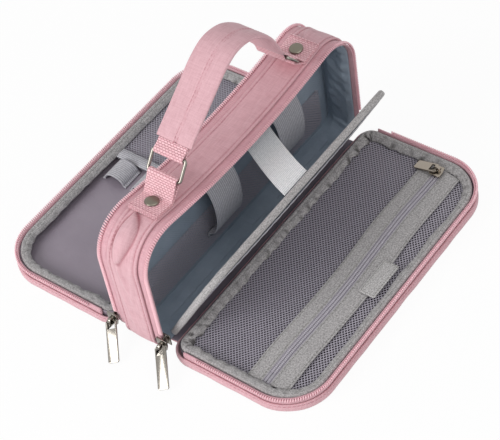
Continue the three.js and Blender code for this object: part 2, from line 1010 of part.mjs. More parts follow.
// Back pocket: a net over the far part of the tray, with a trim along its open edge
const turned = (points, way) => points.map((p) => new THREE.Vector2(-way * p.y, way * p.x));
const back_net_contour = turned(between(turned(net_contour, 1), back_net_near, case_length), -1);
const back_inside = insideBy(back_net_contour, net_rim);
piece(
  "back_pocket_net",
  plate(
    netShape(
      back_net_contour,
      (p) =>
        back_inside(p) &&
        insideBy(seen_contour, 0)(p) &&
        p.x > back_net_near + net_trim_width,
    ),
    net_wall,
    net_level,
  ),
  gray_net,
  back_cover,
);
piece(
  "back_pocket_trim",
  plate(
    new THREE.Shape([
      new THREE.Vector2(back_net_near, binding_inner + fit_gap),
      new THREE.Vector2(back_net_near + net_trim_width, binding_inner + fit_gap),
      new THREE.Vector2(back_net_near + net_trim_width, case_height - binding_inner - fit_gap),
      new THREE.Vector2(back_net_near, case_height - binding_inner - fit_gap),
    ]),
    net_trim_wall,
    band_level,
  ),
  gray_elastic,
  back_cover,
);

// Pen loops stand on the tray's floor, beside the trim
const pen_loop_level = cover_floor + fit_gap + 2 * lining_wall + fit_gap;
for (const [name, place] of [
  ["first_pen_loop", case_height - first_pen_loop_drop],
  ["second_pen_loop", case_height - second_pen_loop_drop],
]) {
  const loop = along(
    standingBand(
      -pen_loop_span / 2,
      pen_loop_span,
      pen_loop_height,
      pen_loop_wall,
      pen_loop_foot,
    ),
    pen_loop_length,
  );
  // From standing out along Y to standing up from the tray's floor
  loop.rotateX(Math.PI / 2);
  loop.translate(back_net_near - pen_loop_gap - pen_loop_length / 2, place, pen_loop_level);
  piece(name, loop, gray_elastic, back_cover);
}

// Handle. Each end has a tab riveted to the body, a ring in the tab's eye and a webbing loop on the ring.
const wire = ring_wire / 2;
const eye_hole = wire + fit_gap;
const eye_outer = eye_hole + webbing_wall;

// Double webbing drawn in (x, z): from a tail point through a bend to an eye round a bar
function foldedWebbing(tail, bend, bar) {
  const along_tail = bend.clone().sub(tail).normalize();
  const along_rise = bar.clone().sub(bend).normalize();
  const leftOf = (way) => new THREE.Vector2(-way.y, way.x);
  const [tail_left, rise_left] = [leftOf(along_tail), leftOf(along_rise)];
  const turn = Math.atan2(along_rise.y, along_rise.x);
  const miter = tail_left
    .clone()
    .add(rise_left)
    .multiplyScalar((2 * webbing_wall) / (1 + tail_left.dot(rise_left)));
  const shape = new THREE.Shape();
  shape.moveTo(tail.x, tail.y);
  shape.lineTo(bend.x, bend.y);
  shape.absarc(bar.x, bar.y, eye_outer, turn - Math.PI / 2, turn + Math.PI / 2, false);
  shape.lineTo(bend.x + miter.x, bend.y + miter.y);
  const back = tail.clone().addScaledVector(tail_left, 2 * webbing_wall);
  shape.lineTo(back.x, back.y);
  const hole = new THREE.Path();
  hole.absarc(bar.x, bar.y, eye_hole, 0, 2 * Math.PI, true);
  shape.holes.push(hole);
  return shape;
}

// A rectangle of round wire in (y, z), its lower bar through the origin
function ringGeometry() {
  const half = ring_width / 2 - wire;
  const rings = [];
  for (let quarter = 0; quarter < 4; quarter++)
    for (let i = 0; i <= 2; i++) {
      const turn = (Math.PI / 4) * (i + 2 * quarter - 2);
      const way = new THREE.Vector3(0, Math.cos(turn), Math.sin(turn));
      const centre = new THREE.Vector3(
        0,
        (quarter === 0 || quarter === 1 ? 1 : -1) * (half - ring_corner),
        quarter === 1 || quarter === 2 ? ring_height - ring_corner : ring_corner,
      ).addScaledVector(way, ring_corner);
      rings.push(
        Array.from({ length: wire_sides }, (_, k) => {
          const round = (2 * Math.PI * k) / wire_sides;
          return centre
            .clone()
            .addScaledVector(way, wire * Math.cos(round))
            .add(new THREE.Vector3(wire * Math.sin(round), 0, 0));
        }),
      );
    }
  return loft(rings, true);
}

function rivetGeometry(tail, head) {
  const rivet = new THREE.LatheGeometry(
    [
      [0, tail - rivet_tail_height],
      [rivet_tail_radius, tail - rivet_tail_height],
      [rivet_tail_radius, tail],
      [rivet_shank_radius, tail],
      [rivet_shank_radius, head],
      [rivet_head_radius, head],
      [rivet_head_radius, head + rivet_head_height / 2],
      [rivet_head_radius - rivet_head_height, head + rivet_head_height],
      [0, head + rivet_head_height],
    ].map(([x, y]) => new THREE.Vector2(x, y)),
    round_steps,
  );
  return rivet.rotateX(Math.PI / 2);
}

const strap_ends = [];
for (const [name, side, reach, lift, ring_lean, loop_lean] of [
  ["near", -1, near_tab_reach, near_tab_lift, near_ring_lean, near_loop_lean],
  ["far", 1, far_tab_reach, far_tab_lift, far_ring_lean, far_loop_lean],
]) {
  // In this frame +X runs from the rivet towards the middle of the case
  const frame = topFrame(side * rivet_place);
  if (side > 0) frame.rotation.z = Math.PI;
  const bar = new THREE.Vector2(reach, lift);
  const tab = foldedWebbing(
    new THREE.Vector2(-tab_tail, fit_gap),
    new THREE.Vector2(tab_base, fit_gap),
    bar,
  );
  const bore_radius = rivet_shank_radius + fit_gap;
  const bore = new THREE.CylinderGeometry(bore_radius, bore_radius, 2 * tab_tail, round_steps);
  bore.rotateX(Math.PI / 2);
  piece(`${name}_handle_tab`, cut(across(tab, webbing_width), bore), pink_webbing, frame);
  const head = fit_gap + 2 * webbing_wall + fit_gap;
  piece(`${name}_rivet`, rivetGeometry(-fabric_wall - fit_gap, head), nickel, frame);

  const ring = group(frame, bar.x, 0, bar.y);
  ring.rotation.y = Math.PI / 2 - ring_lean;
  piece(`${name}_ring`, ringGeometry(), nickel, ring);

  // In this frame the loop's tongue runs along +Z from the ring's upper bar
  const loop = group(ring, 0, 0, ring_height);
  loop.rotation.y = ring_lean - loop_lean;
  const tongue = eye_outer + loop_tongue;
  const fold = foldedWebbing(
    new THREE.Vector2(-webbing_wall, tongue),
    new THREE.Vector2(-webbing_wall, eye_outer),
    new THREE.Vector2(0, 0),
  );
  piece(`${name}_handle_loop`, across(fold, webbing_width), pink_webbing, loop);
  loop.updateWorldMatrix(true, false);
  const seat = tongue + fit_gap;
  strap_ends.push(
    [seat, seat + strap_lead].map((z) =>
      new THREE.Vector3(0, 0, z).applyMatrix4(loop.matrixWorld),
    ),
  );
}

// Strap: a padded double layer with a seam groove along it, arched from loop to loop
const [[near_end, near_lead], [far_end, far_lead]] = strap_ends;
const strap_curve = new THREE.CatmullRomCurve3(
  [
    near_end,
    near_lead,
    ...strap_path_shares.map(([along_share, rise_share]) =>
      near_end
        .clone()
        .lerp(far_end, along_share)
        .add(new THREE.Vector3(0, 0, strap_rise * rise_share)),
    ),
    far_lead,
    far_end,
  ],
  false,
  "centripetal",
);
const seam = strap_width * strap_seam_share;
const strap_section = [
  [-strap_width / 2 + strap_edge, -strap_wall / 2],
  [strap_width / 2 - strap_edge, -strap_wall / 2],
  [strap_width / 2, 0],
  [strap_width / 2 - strap_edge, strap_wall / 2],
  [seam + strap_seam_width, strap_wall / 2],
  [seam, strap_wall / 2 - strap_seam_depth],
  [seam - strap_seam_width, strap_wall / 2],
  [-strap_width / 2 + strap_edge, strap_wall / 2],
  [-strap_width / 2, 0],
];
piece(
  "handle_strap",
  loft(strapRings(strap_curve, strap_steps, strap_section, new THREE.Vector3(0, 1, 0)), false),
  pink_fabric,
);

// Sliders, drawn with the zip along X, the teeth's top in the plane z = 0 and the web at y = 0: an outer
// plate with a bail for the pull, a web between the two rows and an inner plate
function sliderBody(depth, turned_bail) {
  const outer = slider_seat;
  const inner = -depth - slider_seat;
  const wing = (half_width, thickness, level) => {
    const l = slider_length / 2;
    const outline = new THREE.Shape();
    outline.moveTo(-l, -slider_waist / 2);
    outline.lineTo(0, -half_width);
    outline.lineTo(l, -half_width);
    outline.lineTo(l, half_width);
    outline.lineTo(0, half_width);
    outline.lineTo(-l, slider_waist / 2);
    return plate(outline, thickness, level);
  };
  const top = wing(slider_width / 2, slider_plate, outer);
  const bottom = wing(slider_waist / 2, slider_back_plate, inner - slider_back_plate);
  const web_top = outer + slider_plate / 2;
  const web_bottom = inner - slider_back_plate / 2;
  const web = new THREE.BoxGeometry(
    slider_length - 2 * edge_fold,
    slider_web,
    web_top - web_bottom,
  ).translate(0, 0, (web_top + web_bottom) / 2);
  const reach = bail_inner + bail_wire;
  const pivot = outer + slider_plate + bail_leg;
  const arch = new THREE.Shape();
  arch.moveTo(reach, web_top);
  arch.absarc(0, pivot, reach, 0, Math.PI, false);
  arch.lineTo(-reach, web_top);
  arch.lineTo(-bail_inner, web_top);
  arch.absarc(0, pivot, bail_inner, Math.PI, 0, true);
  arch.lineTo(bail_inner, web_top);
  const bail = turned_bail ? along(arch, bail_width) : across(arch, bail_width);
  return { geometry: joined(top, bottom, web, bail), pivot };
}

// A pull lies along +X from its pivot: a flat bar with a square end, its rounded eye round the bail
function pullGeometry(length) {
  const bar = bail_inner - 2 * fit_gap;
  const start = -bar / 2;
  const half = pull_width / 2;
  const half_eye = half - pull_eye_side;
  const outline = new THREE.Shape();
  outline.moveTo(start, half - pull_shoulder);
  outline.lineTo(start, pull_shoulder - half);
  outline.lineTo(start + pull_shoulder, -half);
  outline.lineTo(length - pull_corner, -half);
  outline.lineTo(length, pull_corner - half);
  outline.lineTo(length, half - pull_corner);
  outline.lineTo(length - pull_corner, half);
  outline.lineTo(start + pull_shoulder, half);
  const eye = new THREE.Path();
  eye.moveTo(start + bar, -half_eye);
  eye.lineTo(start + bar, half_eye);
  eye.lineTo(start + bar + pull_eye_length, half_eye);
  eye.lineTo(start + bar + pull_eye_length, -half_eye);
  outline.holes.push(eye);
  return plate(outline, pull_wall, -pull_wall / 2);
}

// Main sliders stand at the near end, at the foot of each zip, with their pulls down on the table
for (const [name, side] of [
  ["front", -1],
  ["back", 1],
]) {
  const slider = group(
    object,
    -half_length,
    side * (half_depth + hinge_gap / 2),
    slider_rise + slider_length / 2,
  );
  slider.rotation.set(0, -Math.PI / 2, 0);
  const body = sliderBody(tape_inner, false);
  piece(`${name}_slider`, body.geometry, nickel, slider);
  const pull_run = pull_length * Math.cos(pull_turn) + (pull_width / 2) * Math.sin(pull_turn);
  const drop = Math.asin((slider_rise + slider_length / 2 - pull_wall / 2) / pull_run);
  const pull = group(slider, 0, 0, body.pivot);
  pull.rotation.set(0, -Math.PI / 2 - drop, 0);
  const turned = group(pull, 0, 0, 0);
  turned.rotation.z = -pull_turn;
  piece(`${name}_pull`, pullGeometry(pull_length), nickel, turned);
}

// The pocket's slider waits past the last tooth at the far end, its pull laid over the inner strip
const pocket_slider = group(
  front_cover,
  -coil_half - fit_gap - slider_length / 2,
  zip_line,
  coil_level + pocket_coil_height,
);
const pocket_slider_body = sliderBody(
  pocket_coil_height + 2 * fit_gap + strip_wall + net_wall,
  true,
);
piece("pocket_slider", pocket_slider_body.geometry, nickel, pocket_slider);
const pocket_pull = group(pocket_slider, 0, 0, pocket_slider_body.pivot);
pocket_pull.rotation.z = -Math.PI / 2;
const pocket_pull_rest = group(pocket_pull, 0, 0, 0);
pocket_pull_rest.rotation.y = pocket_pull_droop;
piece("pocket_pull", pullGeometry(pocket_pull_length), nickel, pocket_pull_rest);

export default object;
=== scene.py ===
# An unfolded pencil case of pink cloth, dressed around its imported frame. Metres; X runs along the case, the
# front cover opens towards -Y and +Z is up.
import json
import math

import bmesh
import bpy
import numpy as np
from mathutils import Matrix, Vector


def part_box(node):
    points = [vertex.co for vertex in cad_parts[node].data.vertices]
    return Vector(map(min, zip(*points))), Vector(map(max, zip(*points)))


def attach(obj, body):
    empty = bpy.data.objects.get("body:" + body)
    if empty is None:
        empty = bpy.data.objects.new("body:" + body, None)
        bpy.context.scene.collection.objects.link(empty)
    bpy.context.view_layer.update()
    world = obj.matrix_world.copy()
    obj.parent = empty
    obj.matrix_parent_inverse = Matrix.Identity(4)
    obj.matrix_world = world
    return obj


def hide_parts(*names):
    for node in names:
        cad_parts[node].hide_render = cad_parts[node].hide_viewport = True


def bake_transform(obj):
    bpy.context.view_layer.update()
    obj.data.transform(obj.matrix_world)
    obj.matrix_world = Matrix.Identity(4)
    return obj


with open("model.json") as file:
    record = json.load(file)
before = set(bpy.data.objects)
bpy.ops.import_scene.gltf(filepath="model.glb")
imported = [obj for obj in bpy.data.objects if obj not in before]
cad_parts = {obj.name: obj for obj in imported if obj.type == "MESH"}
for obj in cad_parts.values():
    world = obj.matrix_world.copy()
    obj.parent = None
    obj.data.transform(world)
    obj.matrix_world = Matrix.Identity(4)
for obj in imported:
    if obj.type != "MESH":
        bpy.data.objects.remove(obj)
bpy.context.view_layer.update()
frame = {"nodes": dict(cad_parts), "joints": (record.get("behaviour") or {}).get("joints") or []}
mm = 0.001

# Camera
# A long lens looks down on the near left corner of the open case, tilted a little to one side, as the
# photograph does.
view_azimuth, view_elevation, view_roll = math.radians(-46), math.radians(47.9), -0.187
view_target, view_distance = Vector((-0.0195, -0.0229, 0.040)), 1.0151
view_lens = 115.2


def direction(azimuth, elevation):
    """The way from the case to something seen at an azimuth from the front and an elevation."""
    level = math.cos(elevation)
    return Vector((math.sin(azimuth) * level, -math.cos(azimuth) * level, math.sin(elevation)))


back = direction(view_azimuth, view_elevation)
right = (-back).cross(Vector((0, 0, 1))).normalized()
up = right.cross(-back)
tilted_right = right * math.cos(view_roll) + up * math.sin(view_roll)
tilted_up = up * math.cos(view_roll) - right * math.sin(view_roll)
camera = bpy.data.objects.new("camera", bpy.data.cameras.new("camera"))
bpy.context.scene.collection.objects.link(camera)
turn = Matrix((tilted_right, tilted_up, back)).transposed().to_4x4()
camera.matrix_world = Matrix.Translation(view_target + back * view_distance) @ turn
camera.data.lens = view_lens
camera.data.clip_start, camera.data.clip_end = 0.05, 20
bpy.context.scene.camera = camera


# Gusset band
# One strip of pink woven polyester makes the top, both ends and the underside. Its long edges are turned in
# over the zip tapes and stitched down, and the cloth puckers where it goes round the top corners.
def linear(colour):
    """A hex colour as linear light, with alpha."""
    parts = [int(colour[i : i + 2], 16) / 255 for i in (1, 3, 5)]
    return [c / 12.92 if c <= 0.04045 else ((c + 0.055) / 1.055) ** 2.4 for c in parts] + [1]


def add(tree, kind, inputs=None, **settings):
    """A new node with its settings; an input that is a socket is linked, any other is set."""
    made = tree.nodes.new(kind)
    for name, value in settings.items():
        setattr(made, name, value)
    for key, value in (inputs or {}).items():
        if isinstance(value, bpy.types.NodeSocket):
            tree.links.new(value, made.inputs[key])
        else:
            made.inputs[key].default_value = value
    return made


def finish_of(name, roughness, sheen=0.0, metallic=0.0, coat=0.0, colour=None):
    """A material with a principled surface, and its tree and surface to build on."""
    material = bpy.data.materials.new(name)
    material.use_nodes = True
    tree = material.node_tree
    surface = tree.nodes["Principled BSDF"]
    surface.inputs["Roughness"].default_value = roughness
    surface.inputs["Sheen Weight"].default_value = sheen
    surface.inputs["Sheen Roughness"].default_value = 0.4
    surface.inputs["Metallic"].default_value = metallic
    surface.inputs["Coat Weight"].default_value = coat
    if colour:
        surface.inputs["Base Color"].default_value = linear(colour)
    return material, tree, surface


def dressed(made, tone, pale, dark, height, strength, relief):
    """Gives a finish its tone between two colours and its fine relief. Returns the material."""
    material, tree, surface = made
    tones = {"Factor": tone, "A": linear(dark), "B": linear(pale)}
    mixed = add(tree, "ShaderNodeMix", tones, data_type="RGBA")
    bump = add(tree, "ShaderNodeBump", {"Height": height, "Strength": strength, "Distance": relief})
    tree.links.new(mixed.outputs["Result"], surface.inputs["Base Color"])
    tree.links.new(bump.outputs[0], surface.inputs["Normal"])
    return material


wave_cycle = math.pi / 10  # a wave texture of scale 1 repeats at this distance


def woven(name, pale, dark, across, along, relief, roughness=0.8, sheen=0.25, streak=9 * mm, fleck=0.0):
    """Plain woven cloth: warp and weft of the given spacing, with pale and dark streaks of yarn. A fleck size
    gives it the mottled look of heather yarn."""
    made = material, tree, surface = finish_of(name, roughness, sheen)
    places = add(tree, "ShaderNodeUVMap", uv_map="UVMap").outputs["UV"]
    streaks = [(1 / streak, 9 / streak, 5), (9 / streak, 1 / streak, 5)]
    if fleck:
        streaks.append((1 / fleck, 1 / fleck, 2))
    yarns = []
    for along_scale, round_scale, detail in streaks:
        stretched = add(tree, "ShaderNodeMapping", {"Vector": places, "Scale": (along_scale, round_scale, 1)})
        noise = {"Vector": stretched.outputs[0], "Scale": 1.0, "Detail": detail, "Roughness": 0.65}
        yarns.append(add(tree, "ShaderNodeTexNoise", noise).outputs["Fac"])
    both = add(tree, "ShaderNodeMath", {0: yarns[0], 1: yarns[1]}, operation="ADD")
    evened = {"Value": both.outputs[0], "From Min": 0.7, "From Max": 1.3}
    tone = add(tree, "ShaderNodeMapRange", evened).outputs[0]
    if fleck:
        mottled = {"Value": yarns[2], "From Min": 0.36, "From Max": 0.64, "To Min": -0.6, "To Max": 0.6}
        spots = add(tree, "ShaderNodeMapRange", mottled).outputs[0]
        tone = add(tree, "ShaderNodeMath", {0: tone, 1: spots}, operation="ADD", use_clamp=True).outputs[0]
    threads = []
    for way, spacing in (("X", along), ("Y", across)):
        wave = {"Vector": places, "Scale": wave_cycle / spacing, "Distortion": 0.4, "Detail": 1}
        threads.append(add(tree, "ShaderNodeTexWave", wave, bands_direction=way).outputs["Fac"])
    weave = add(tree, "ShaderNodeMath", {0: threads[0], 1: threads[1]}, operation="MULTIPLY").outputs[0]
    thread_highlight = add(tree, "ShaderNodeMath", {0: weave, 1: 0.5}, operation="MULTIPLY")
    dressed(made, tone, pale, dark, weave, 0.6, relief)
    # Raised threads are painted paler, as painted highlight; folds are painted deeper, as painted shade.
    crease = add(tree, "ShaderNodeAttribute", attribute_name="crease")
    deep = (*(c**1.8 for c in linear(dark)[:3]), 1)
    for share, colour in ((thread_highlight.outputs[0], linear(pale)), (crease.outputs["Fac"], deep)):
        under = surface.inputs["Base Color"].links[0].from_socket
        over = add(tree, "ShaderNodeMix", {"Factor": share, "A": under, "B": colour}, data_type="RGBA")
        tree.links.new(over.outputs["Result"], surface.inputs["Base Color"])
    return material


# Pink polyester canvas: woven, matt and slightly streaked. The real thread is 0.4 mm and is drawn at 0.9 mm,
# so that the weave shows.
canvas = woven("pink_polyester_canvas", "#E3B9C0", "#CC9CA4", 0.9 * mm, 0.9 * mm, 0.12 * mm)


def new_piece(name, points, faces, finish, uv=None):
    """An object at the origin from points in metres, with UVs for each corner of its faces."""
    mesh = bpy.data.meshes.new(name)
    mesh.from_pydata([tuple(p) for p in points], [], [tuple(f) for f in faces])
    mesh.polygons.foreach_set("use_smooth", [True] * len(mesh.polygons))
    if uv is not None:
        layer = mesh.uv_layers.new(name="UVMap")
        layer.data.foreach_set("uv", np.asarray(uv, float).ravel())
    mesh.materials.append(finish)
    made = bpy.data.objects.new(name, mesh)
    bpy.context.scene.collection.objects.link(made)
    return made


def run_along(points):
    """The length of a line of points up to each of them."""
    return np.concatenate([[0], np.cumsum(np.linalg.norm(np.diff(points, axis=0), axis=1))])


def lofted(name, rings, finish, round_way=False, caps=True):
    """A skin through rings (rings, points, 3). UVs run in metres, along the rings and round each ring."""
    rings = np.asarray(rings, float)
    count, size = rings.shape[:2]
    k, i = np.meshgrid(np.arange(count if round_way else count - 1), np.arange(size), indexing="ij")
    corners = ((k, i), (k + 1, i), (k + 1, i + 1), (k, i + 1))
    faces = np.stack([a % count * size + b % size for a, b in corners], -1).reshape(-1, 4).tolist()
    middle = rings.mean(1)
    run = run_along(np.vstack([middle, middle[:1]]))
    girth = np.linalg.norm(np.roll(rings, -1, 1) - rings, axis=2).mean(0)
    girth = np.concatenate([[0], np.cumsum(girth)])
    uv = np.stack([np.stack([run[a], girth[b]], -1) for a, b in corners], -2).reshape(-1, 2).tolist()
    points = rings.reshape(-1, 3)
    if caps and not round_way:
        for ring in (list(range(size)), list(range((count - 1) * size, count * size))[::-1]):
            faces.append(ring)
            flat = points[ring] - points[ring].mean(0)
            uv += (flat @ np.linalg.svd(flat, full_matrices=False)[2][:2].T).tolist()
    made = new_piece(name, points, faces, finish, uv)
    outward(made)
    return made


def store_crease_shade(piece, relief, reach, full):
    """Stores for each point how deep it lies below its surroundings, as a share of a full crease, which its
    woven material darkens as painted shade. The relief has the shape of the piece's rings and their points."""
    around = relief
    for axis in (0, 1):
        around = sum(np.roll(around, k, axis) for k in range(-reach, reach + 1)) / (2 * reach + 1)
    depth = np.clip((around - relief) / full, 0, 1)
    layer = piece.data.attributes.new("crease", "FLOAT", "POINT")
    layer.data.foreach_set("value", depth.ravel())


def settle(piece, body, material_slot, *nodes):
    """Puts a piece on its body and in the place of the CAD nodes that it stands for."""
    for node in nodes:
        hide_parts(node)
    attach(piece, body)


def outward(piece):
    """Turns every face of a closed mesh to the outside."""
    volume = 0.0
    places = np.array([v.co for v in piece.data.vertices])
    for face in piece.data.polygons:
        p = places[list(face.vertices)]
        volume += sum(np.dot(p[0], np.cross(p[i], p[i + 1])) for i in range(1, len(p) - 1))
    if volume < 0:
        piece.data.flip_normals()


case_half, band_half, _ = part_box("gusset_band")[1]
case_height, top_sag = 103 * mm, 12 * mm
top_radius, low_radius = 32 * mm, 12 * mm
band_wall = 1.6 * mm


def outline(half, height, top, low, step):
    """Stations (u, v, nu, nv, run) round a plate with round corners, from the middle of its underside by
    the near end, the top and the far end."""
    centres = [
        (-half + low, low, 1.5, 1.0, low),
        (-half + top, height - top, 1.0, 0.5, top),
        (half - top, height - top, 0.5, 0.0, top),
        (half - low, low, 0.0, -0.5, low),
    ]
    found = [(0.0, 0.0, 0.0, -1.0)]
    for cu, cv, start, end, radius in centres:
        count = max(4, round(radius * math.pi / 2 / step))
        for k in range(count + 1):
            a = math.pi * (start + (end - start) * k / count)
            here = (cu + radius * math.cos(a), cv + radius * math.sin(a), math.cos(a), math.sin(a))
            gap = math.dist(found[-1][:2], here[:2])
            if k == 0 and gap > 1e-9:
                cuts = max(1, round(gap / step))
                (u, v), (du, dv) = found[-1][:2], np.subtract(here[:2], found[-1][:2])
                found += [(u + du * c / cuts, v + dv * c / cuts, *here[2:]) for c in range(1, cuts)]
            found.append(here)
    last = found[-1]
    cuts = round(abs(last[0]) / step)
    found += [(last[0] * (1 - c / cuts), 0.0, 0.0, -1.0) for c in range(1, cuts)]
    places = np.array(found)
    return np.column_stack([places, run_along(places[:, :2])])


rim = outline(case_half, case_height, top_radius, low_radius, 1.3 * mm)


def drawn_in(stations, inset):
    """Places (u, v) at an inset from an outline."""
    return stations[:, 0] - stations[:, 2] * inset, stations[:, 1] - stations[:, 3] * inset


def sagged(x, level, v):
    """Points of the standing body, whose soft top sags between its corners."""
    sag = top_sag * np.maximum(0, 1 - (x / case_half) ** 2)
    return np.stack([x, level + 0 * x, v - sag * (v / case_height) ** 2], -1)


def on_body(stations, inset, level):
    """Points of the standing body at an inset from an outline."""
    x, v = drawn_in(stations, inset)
    return sagged(x, level, v)


def bump_at(run, level, centre, reach, width, height, slant=0.0, bow=0.0):
    """A soft ridge (or a fold, where height is negative) along a slanted, bowed line on the cloth."""
    a = (run - centre[0]) / reach
    line = centre[1] + slant * a + bow * (a**2 - 0.5)
    across = (level - line) / width
    return height * np.exp(-np.minimum(a**2, 20) ** 1.5) * np.exp(-(across**2))


def ripple(run, level, size, seed):
    """Smooth unevenness from a few fixed waves, about one high."""
    rng = np.random.default_rng(seed)
    total = 0
    for _ in range(7):
        way, phase = rng.uniform(0, math.pi), rng.uniform(0, 2 * math.pi)
        length = size * rng.uniform(0.6, 1.6)
        total = total + np.sin(2 * math.pi * (run * math.cos(way) + level * math.sin(way)) / length + phase)
    return total / 7


seam_inset = 2.4 * mm
corner_foot = case_height - top_radius
near_corner = float(rim[np.argmin(np.hypot(rim[:, 0] + case_half, rim[:, 1] - corner_foot)), 4])
fold_middle, fold_reach, fold_height = near_corner + 26 * mm, 19 * mm, 4.4 * mm


def corner_fold(run, level):
    """The leaf-shaped fold where the cloth is squeezed round the near top corner. It starts at a sharp
    crease, swells and drops steeply at its other side."""
    a = np.clip((run - fold_middle) / fold_reach, -1, 1)
    crease = 8.0 * mm - 2.0 * mm * (a + 0.15) ** 2
    foot = -5.8 * mm + mm * np.where(a > 0, 11 * np.abs(a) ** 3, 7 * np.abs(a) ** 1.5)
    share = (crease - level) / np.maximum(crease - foot, mm)
    inside = np.clip(share, 0, 1)
    swell = inside**0.8 * (1 - inside**4) * np.maximum(1 - a**2, 0) ** 0.6
    groove = np.exp(-(((level - crease) / (0.7 * mm)) ** 2)) * np.maximum(1 - a**2, 0) ** 0.5
    lip = np.exp(-(((share - 1.12) / 0.1) ** 2)) * np.maximum(1 - a**2, 0)
    return fold_height * 1.75 * swell - 1.4 * mm * groove + 0.5 * mm * lip


def band_relief(run, level):
    """How far the band's cloth stands out from its even surface."""
    across = 1 - (level / band_half) ** 2
    stitch = np.abs(np.abs(level) - (band_half - seam_inset))
    relief = 0.55 * mm * ripple(run, level, 38 * mm, 3) * across
    relief = relief + 0.3 * mm * ripple(run, level, 13 * mm, 5) * across
    relief = relief - 0.45 * mm * np.exp(-((stitch / (0.7 * mm)) ** 2))
    for ridge in band_ridges:
        relief = relief + bump_at(run, level, *ridge) * np.maximum(across, 0) ** 0.5
    return relief + corner_fold(run, level)


# Each ridge is a place along the run from the near corner and across the band, its reach, width and height,
# its slant and its bow, in mm.
band_ridges = [
    ((near_corner + along * mm, across * mm), *(size * mm for size in sizes))
    for along, across, *sizes in (
        (2, 2, 26, 1.5, 1.0, 3, -2),
        (-4, -5, 24, 1.8, 0.8, -3, 2),
        (-36, 4, 22, 2.0, 0.7, 4, 1),
        (52, -9, 18, 1.2, 0.8, 3, 1),
        (98, 6, 30, 2.0, 0.7, -4, 1),
        (150, -5, 26, 2.2, 0.8, 5, 1),
        (215, 3, 22, 1.6, 1.1, 4, 2),
    )
]
outer = [(0.0, level) for level in np.linspace(-band_half + 0.6 * mm, band_half - 0.6 * mm, 46)]
hem = ((0.25 * mm, 0.12 * mm), (0.8 * mm, 0.0), (1.35 * mm, 0.12 * mm), (band_wall, 0.6 * mm))
turned = [(inset, band_half - short) for inset, short in hem]
inner = [(band_wall, level) for level in np.linspace(band_half - 4 * mm, -band_half + 4 * mm, 6)]
section = outer + turned + inner + [(i, -l) for i, l in turned[::-1]]
run = rim[:, 4]
reliefs = [band_relief(run, level + 0 * run) * (inset < band_wall / 2) for inset, level in section]
rings = [on_body(rim, inset - relief, level) for (inset, level), relief in zip(section, reliefs)]
band = lofted("gusset_band_cloth", np.stack(rings, 1), canvas, round_way=True)
# The band's folds and seam grooves are darkened with painted shade.
store_crease_shade(band, np.stack(reliefs, 1), 3, 0.9 * mm)
settle(band, "body", "pink_fabric", "gusset_band")


# Zip halves of the body
# A pink tape of woven polyester is stitched under each edge of the band, and a nylon coil of loops is sewn
# on its free edge. The tape stops at the foot of each end, where the slider waits.

# The tape is smoother than the canvas, with faint ribs across it; the coil is drawn nylon, pale and glossy.
zip_tape_cloth = woven("pink_zip_tape", "#DFB1B9", "#C9959F", 4 * mm, 1.3 * mm, 0.25 * mm, 0.75)
coil_nylon = finish_of("pink_nylon_coil", 0.38, coat=0.15, colour="#F3C5CD")[0]

half_depth = 18.5 * mm
tape_wall, tape_inset, tape_overlap = 0.9 * mm, 1.9 * mm, 3.5 * mm
coil_spacing, coil_inset, coil_foot = 1.55 * mm, 0.85 * mm, 22 * mm


def upper(stations, low):
    """The stations of an open outline: up the near end, over the top and down the far end."""
    return stations[stations[:, 1] >= low - 1e-9]


def ground_normals(stations, place, level):
    """The outward direction of a placed outline at each station."""
    way = place(stations, -mm, level) - place(stations, 0.0, level)
    return way / np.linalg.norm(way, axis=1, keepdims=True)


def row_tree():
    """Copies of a piece along a line, turned with the line and to its facing, as one mesh."""
    tree = bpy.data.node_groups.new("row_along_line", "GeometryNodeTree")
    kinds = {"Line": "Geometry", "Piece": "Object", "Spacing": "Float", "Finish": "Material"}
    for name, kind in kinds.items():
        tree.interface.new_socket(name, in_out="INPUT", socket_type="NodeSocket" + kind)
    tree.interface.new_socket("Row", in_out="OUTPUT", socket_type="NodeSocketGeometry")
    given = add(tree, "NodeGroupInput").outputs
    line = add(tree, "GeometryNodeMeshToCurve", {"Mesh": given["Line"]})
    even = {"Curve": line.outputs[0], "Length": given["Spacing"]}
    points = add(tree, "GeometryNodeResampleCurve", even, mode="LENGTH")
    facing = add(tree, "GeometryNodeInputNamedAttribute", {"Name": "facing"}, data_type="FLOAT_VECTOR")
    tangent = add(tree, "GeometryNodeInputTangent")
    axes = {"Primary Axis": tangent.outputs[0], "Secondary Axis": facing.outputs["Attribute"]}
    turn = add(tree, "FunctionNodeAxesToRotation", axes, primary_axis="X", secondary_axis="Z")
    piece = add(tree, "GeometryNodeObjectInfo", {"Object": given["Piece"]}).outputs["Geometry"]
    placed = {"Points": points.outputs[0], "Instance": piece, "Rotation": turn.outputs[0]}
    copies = add(tree, "GeometryNodeInstanceOnPoints", placed)
    whole = add(tree, "GeometryNodeRealizeInstances", {"Geometry": copies.outputs[0]})
    finished = {"Geometry": whole.outputs[0], "Material": given["Finish"]}
    done = add(tree, "GeometryNodeSetMaterial", finished)
    add(tree, "NodeGroupOutput", {"Row": done.outputs[0]})
    return tree


row_along_line = row_tree()


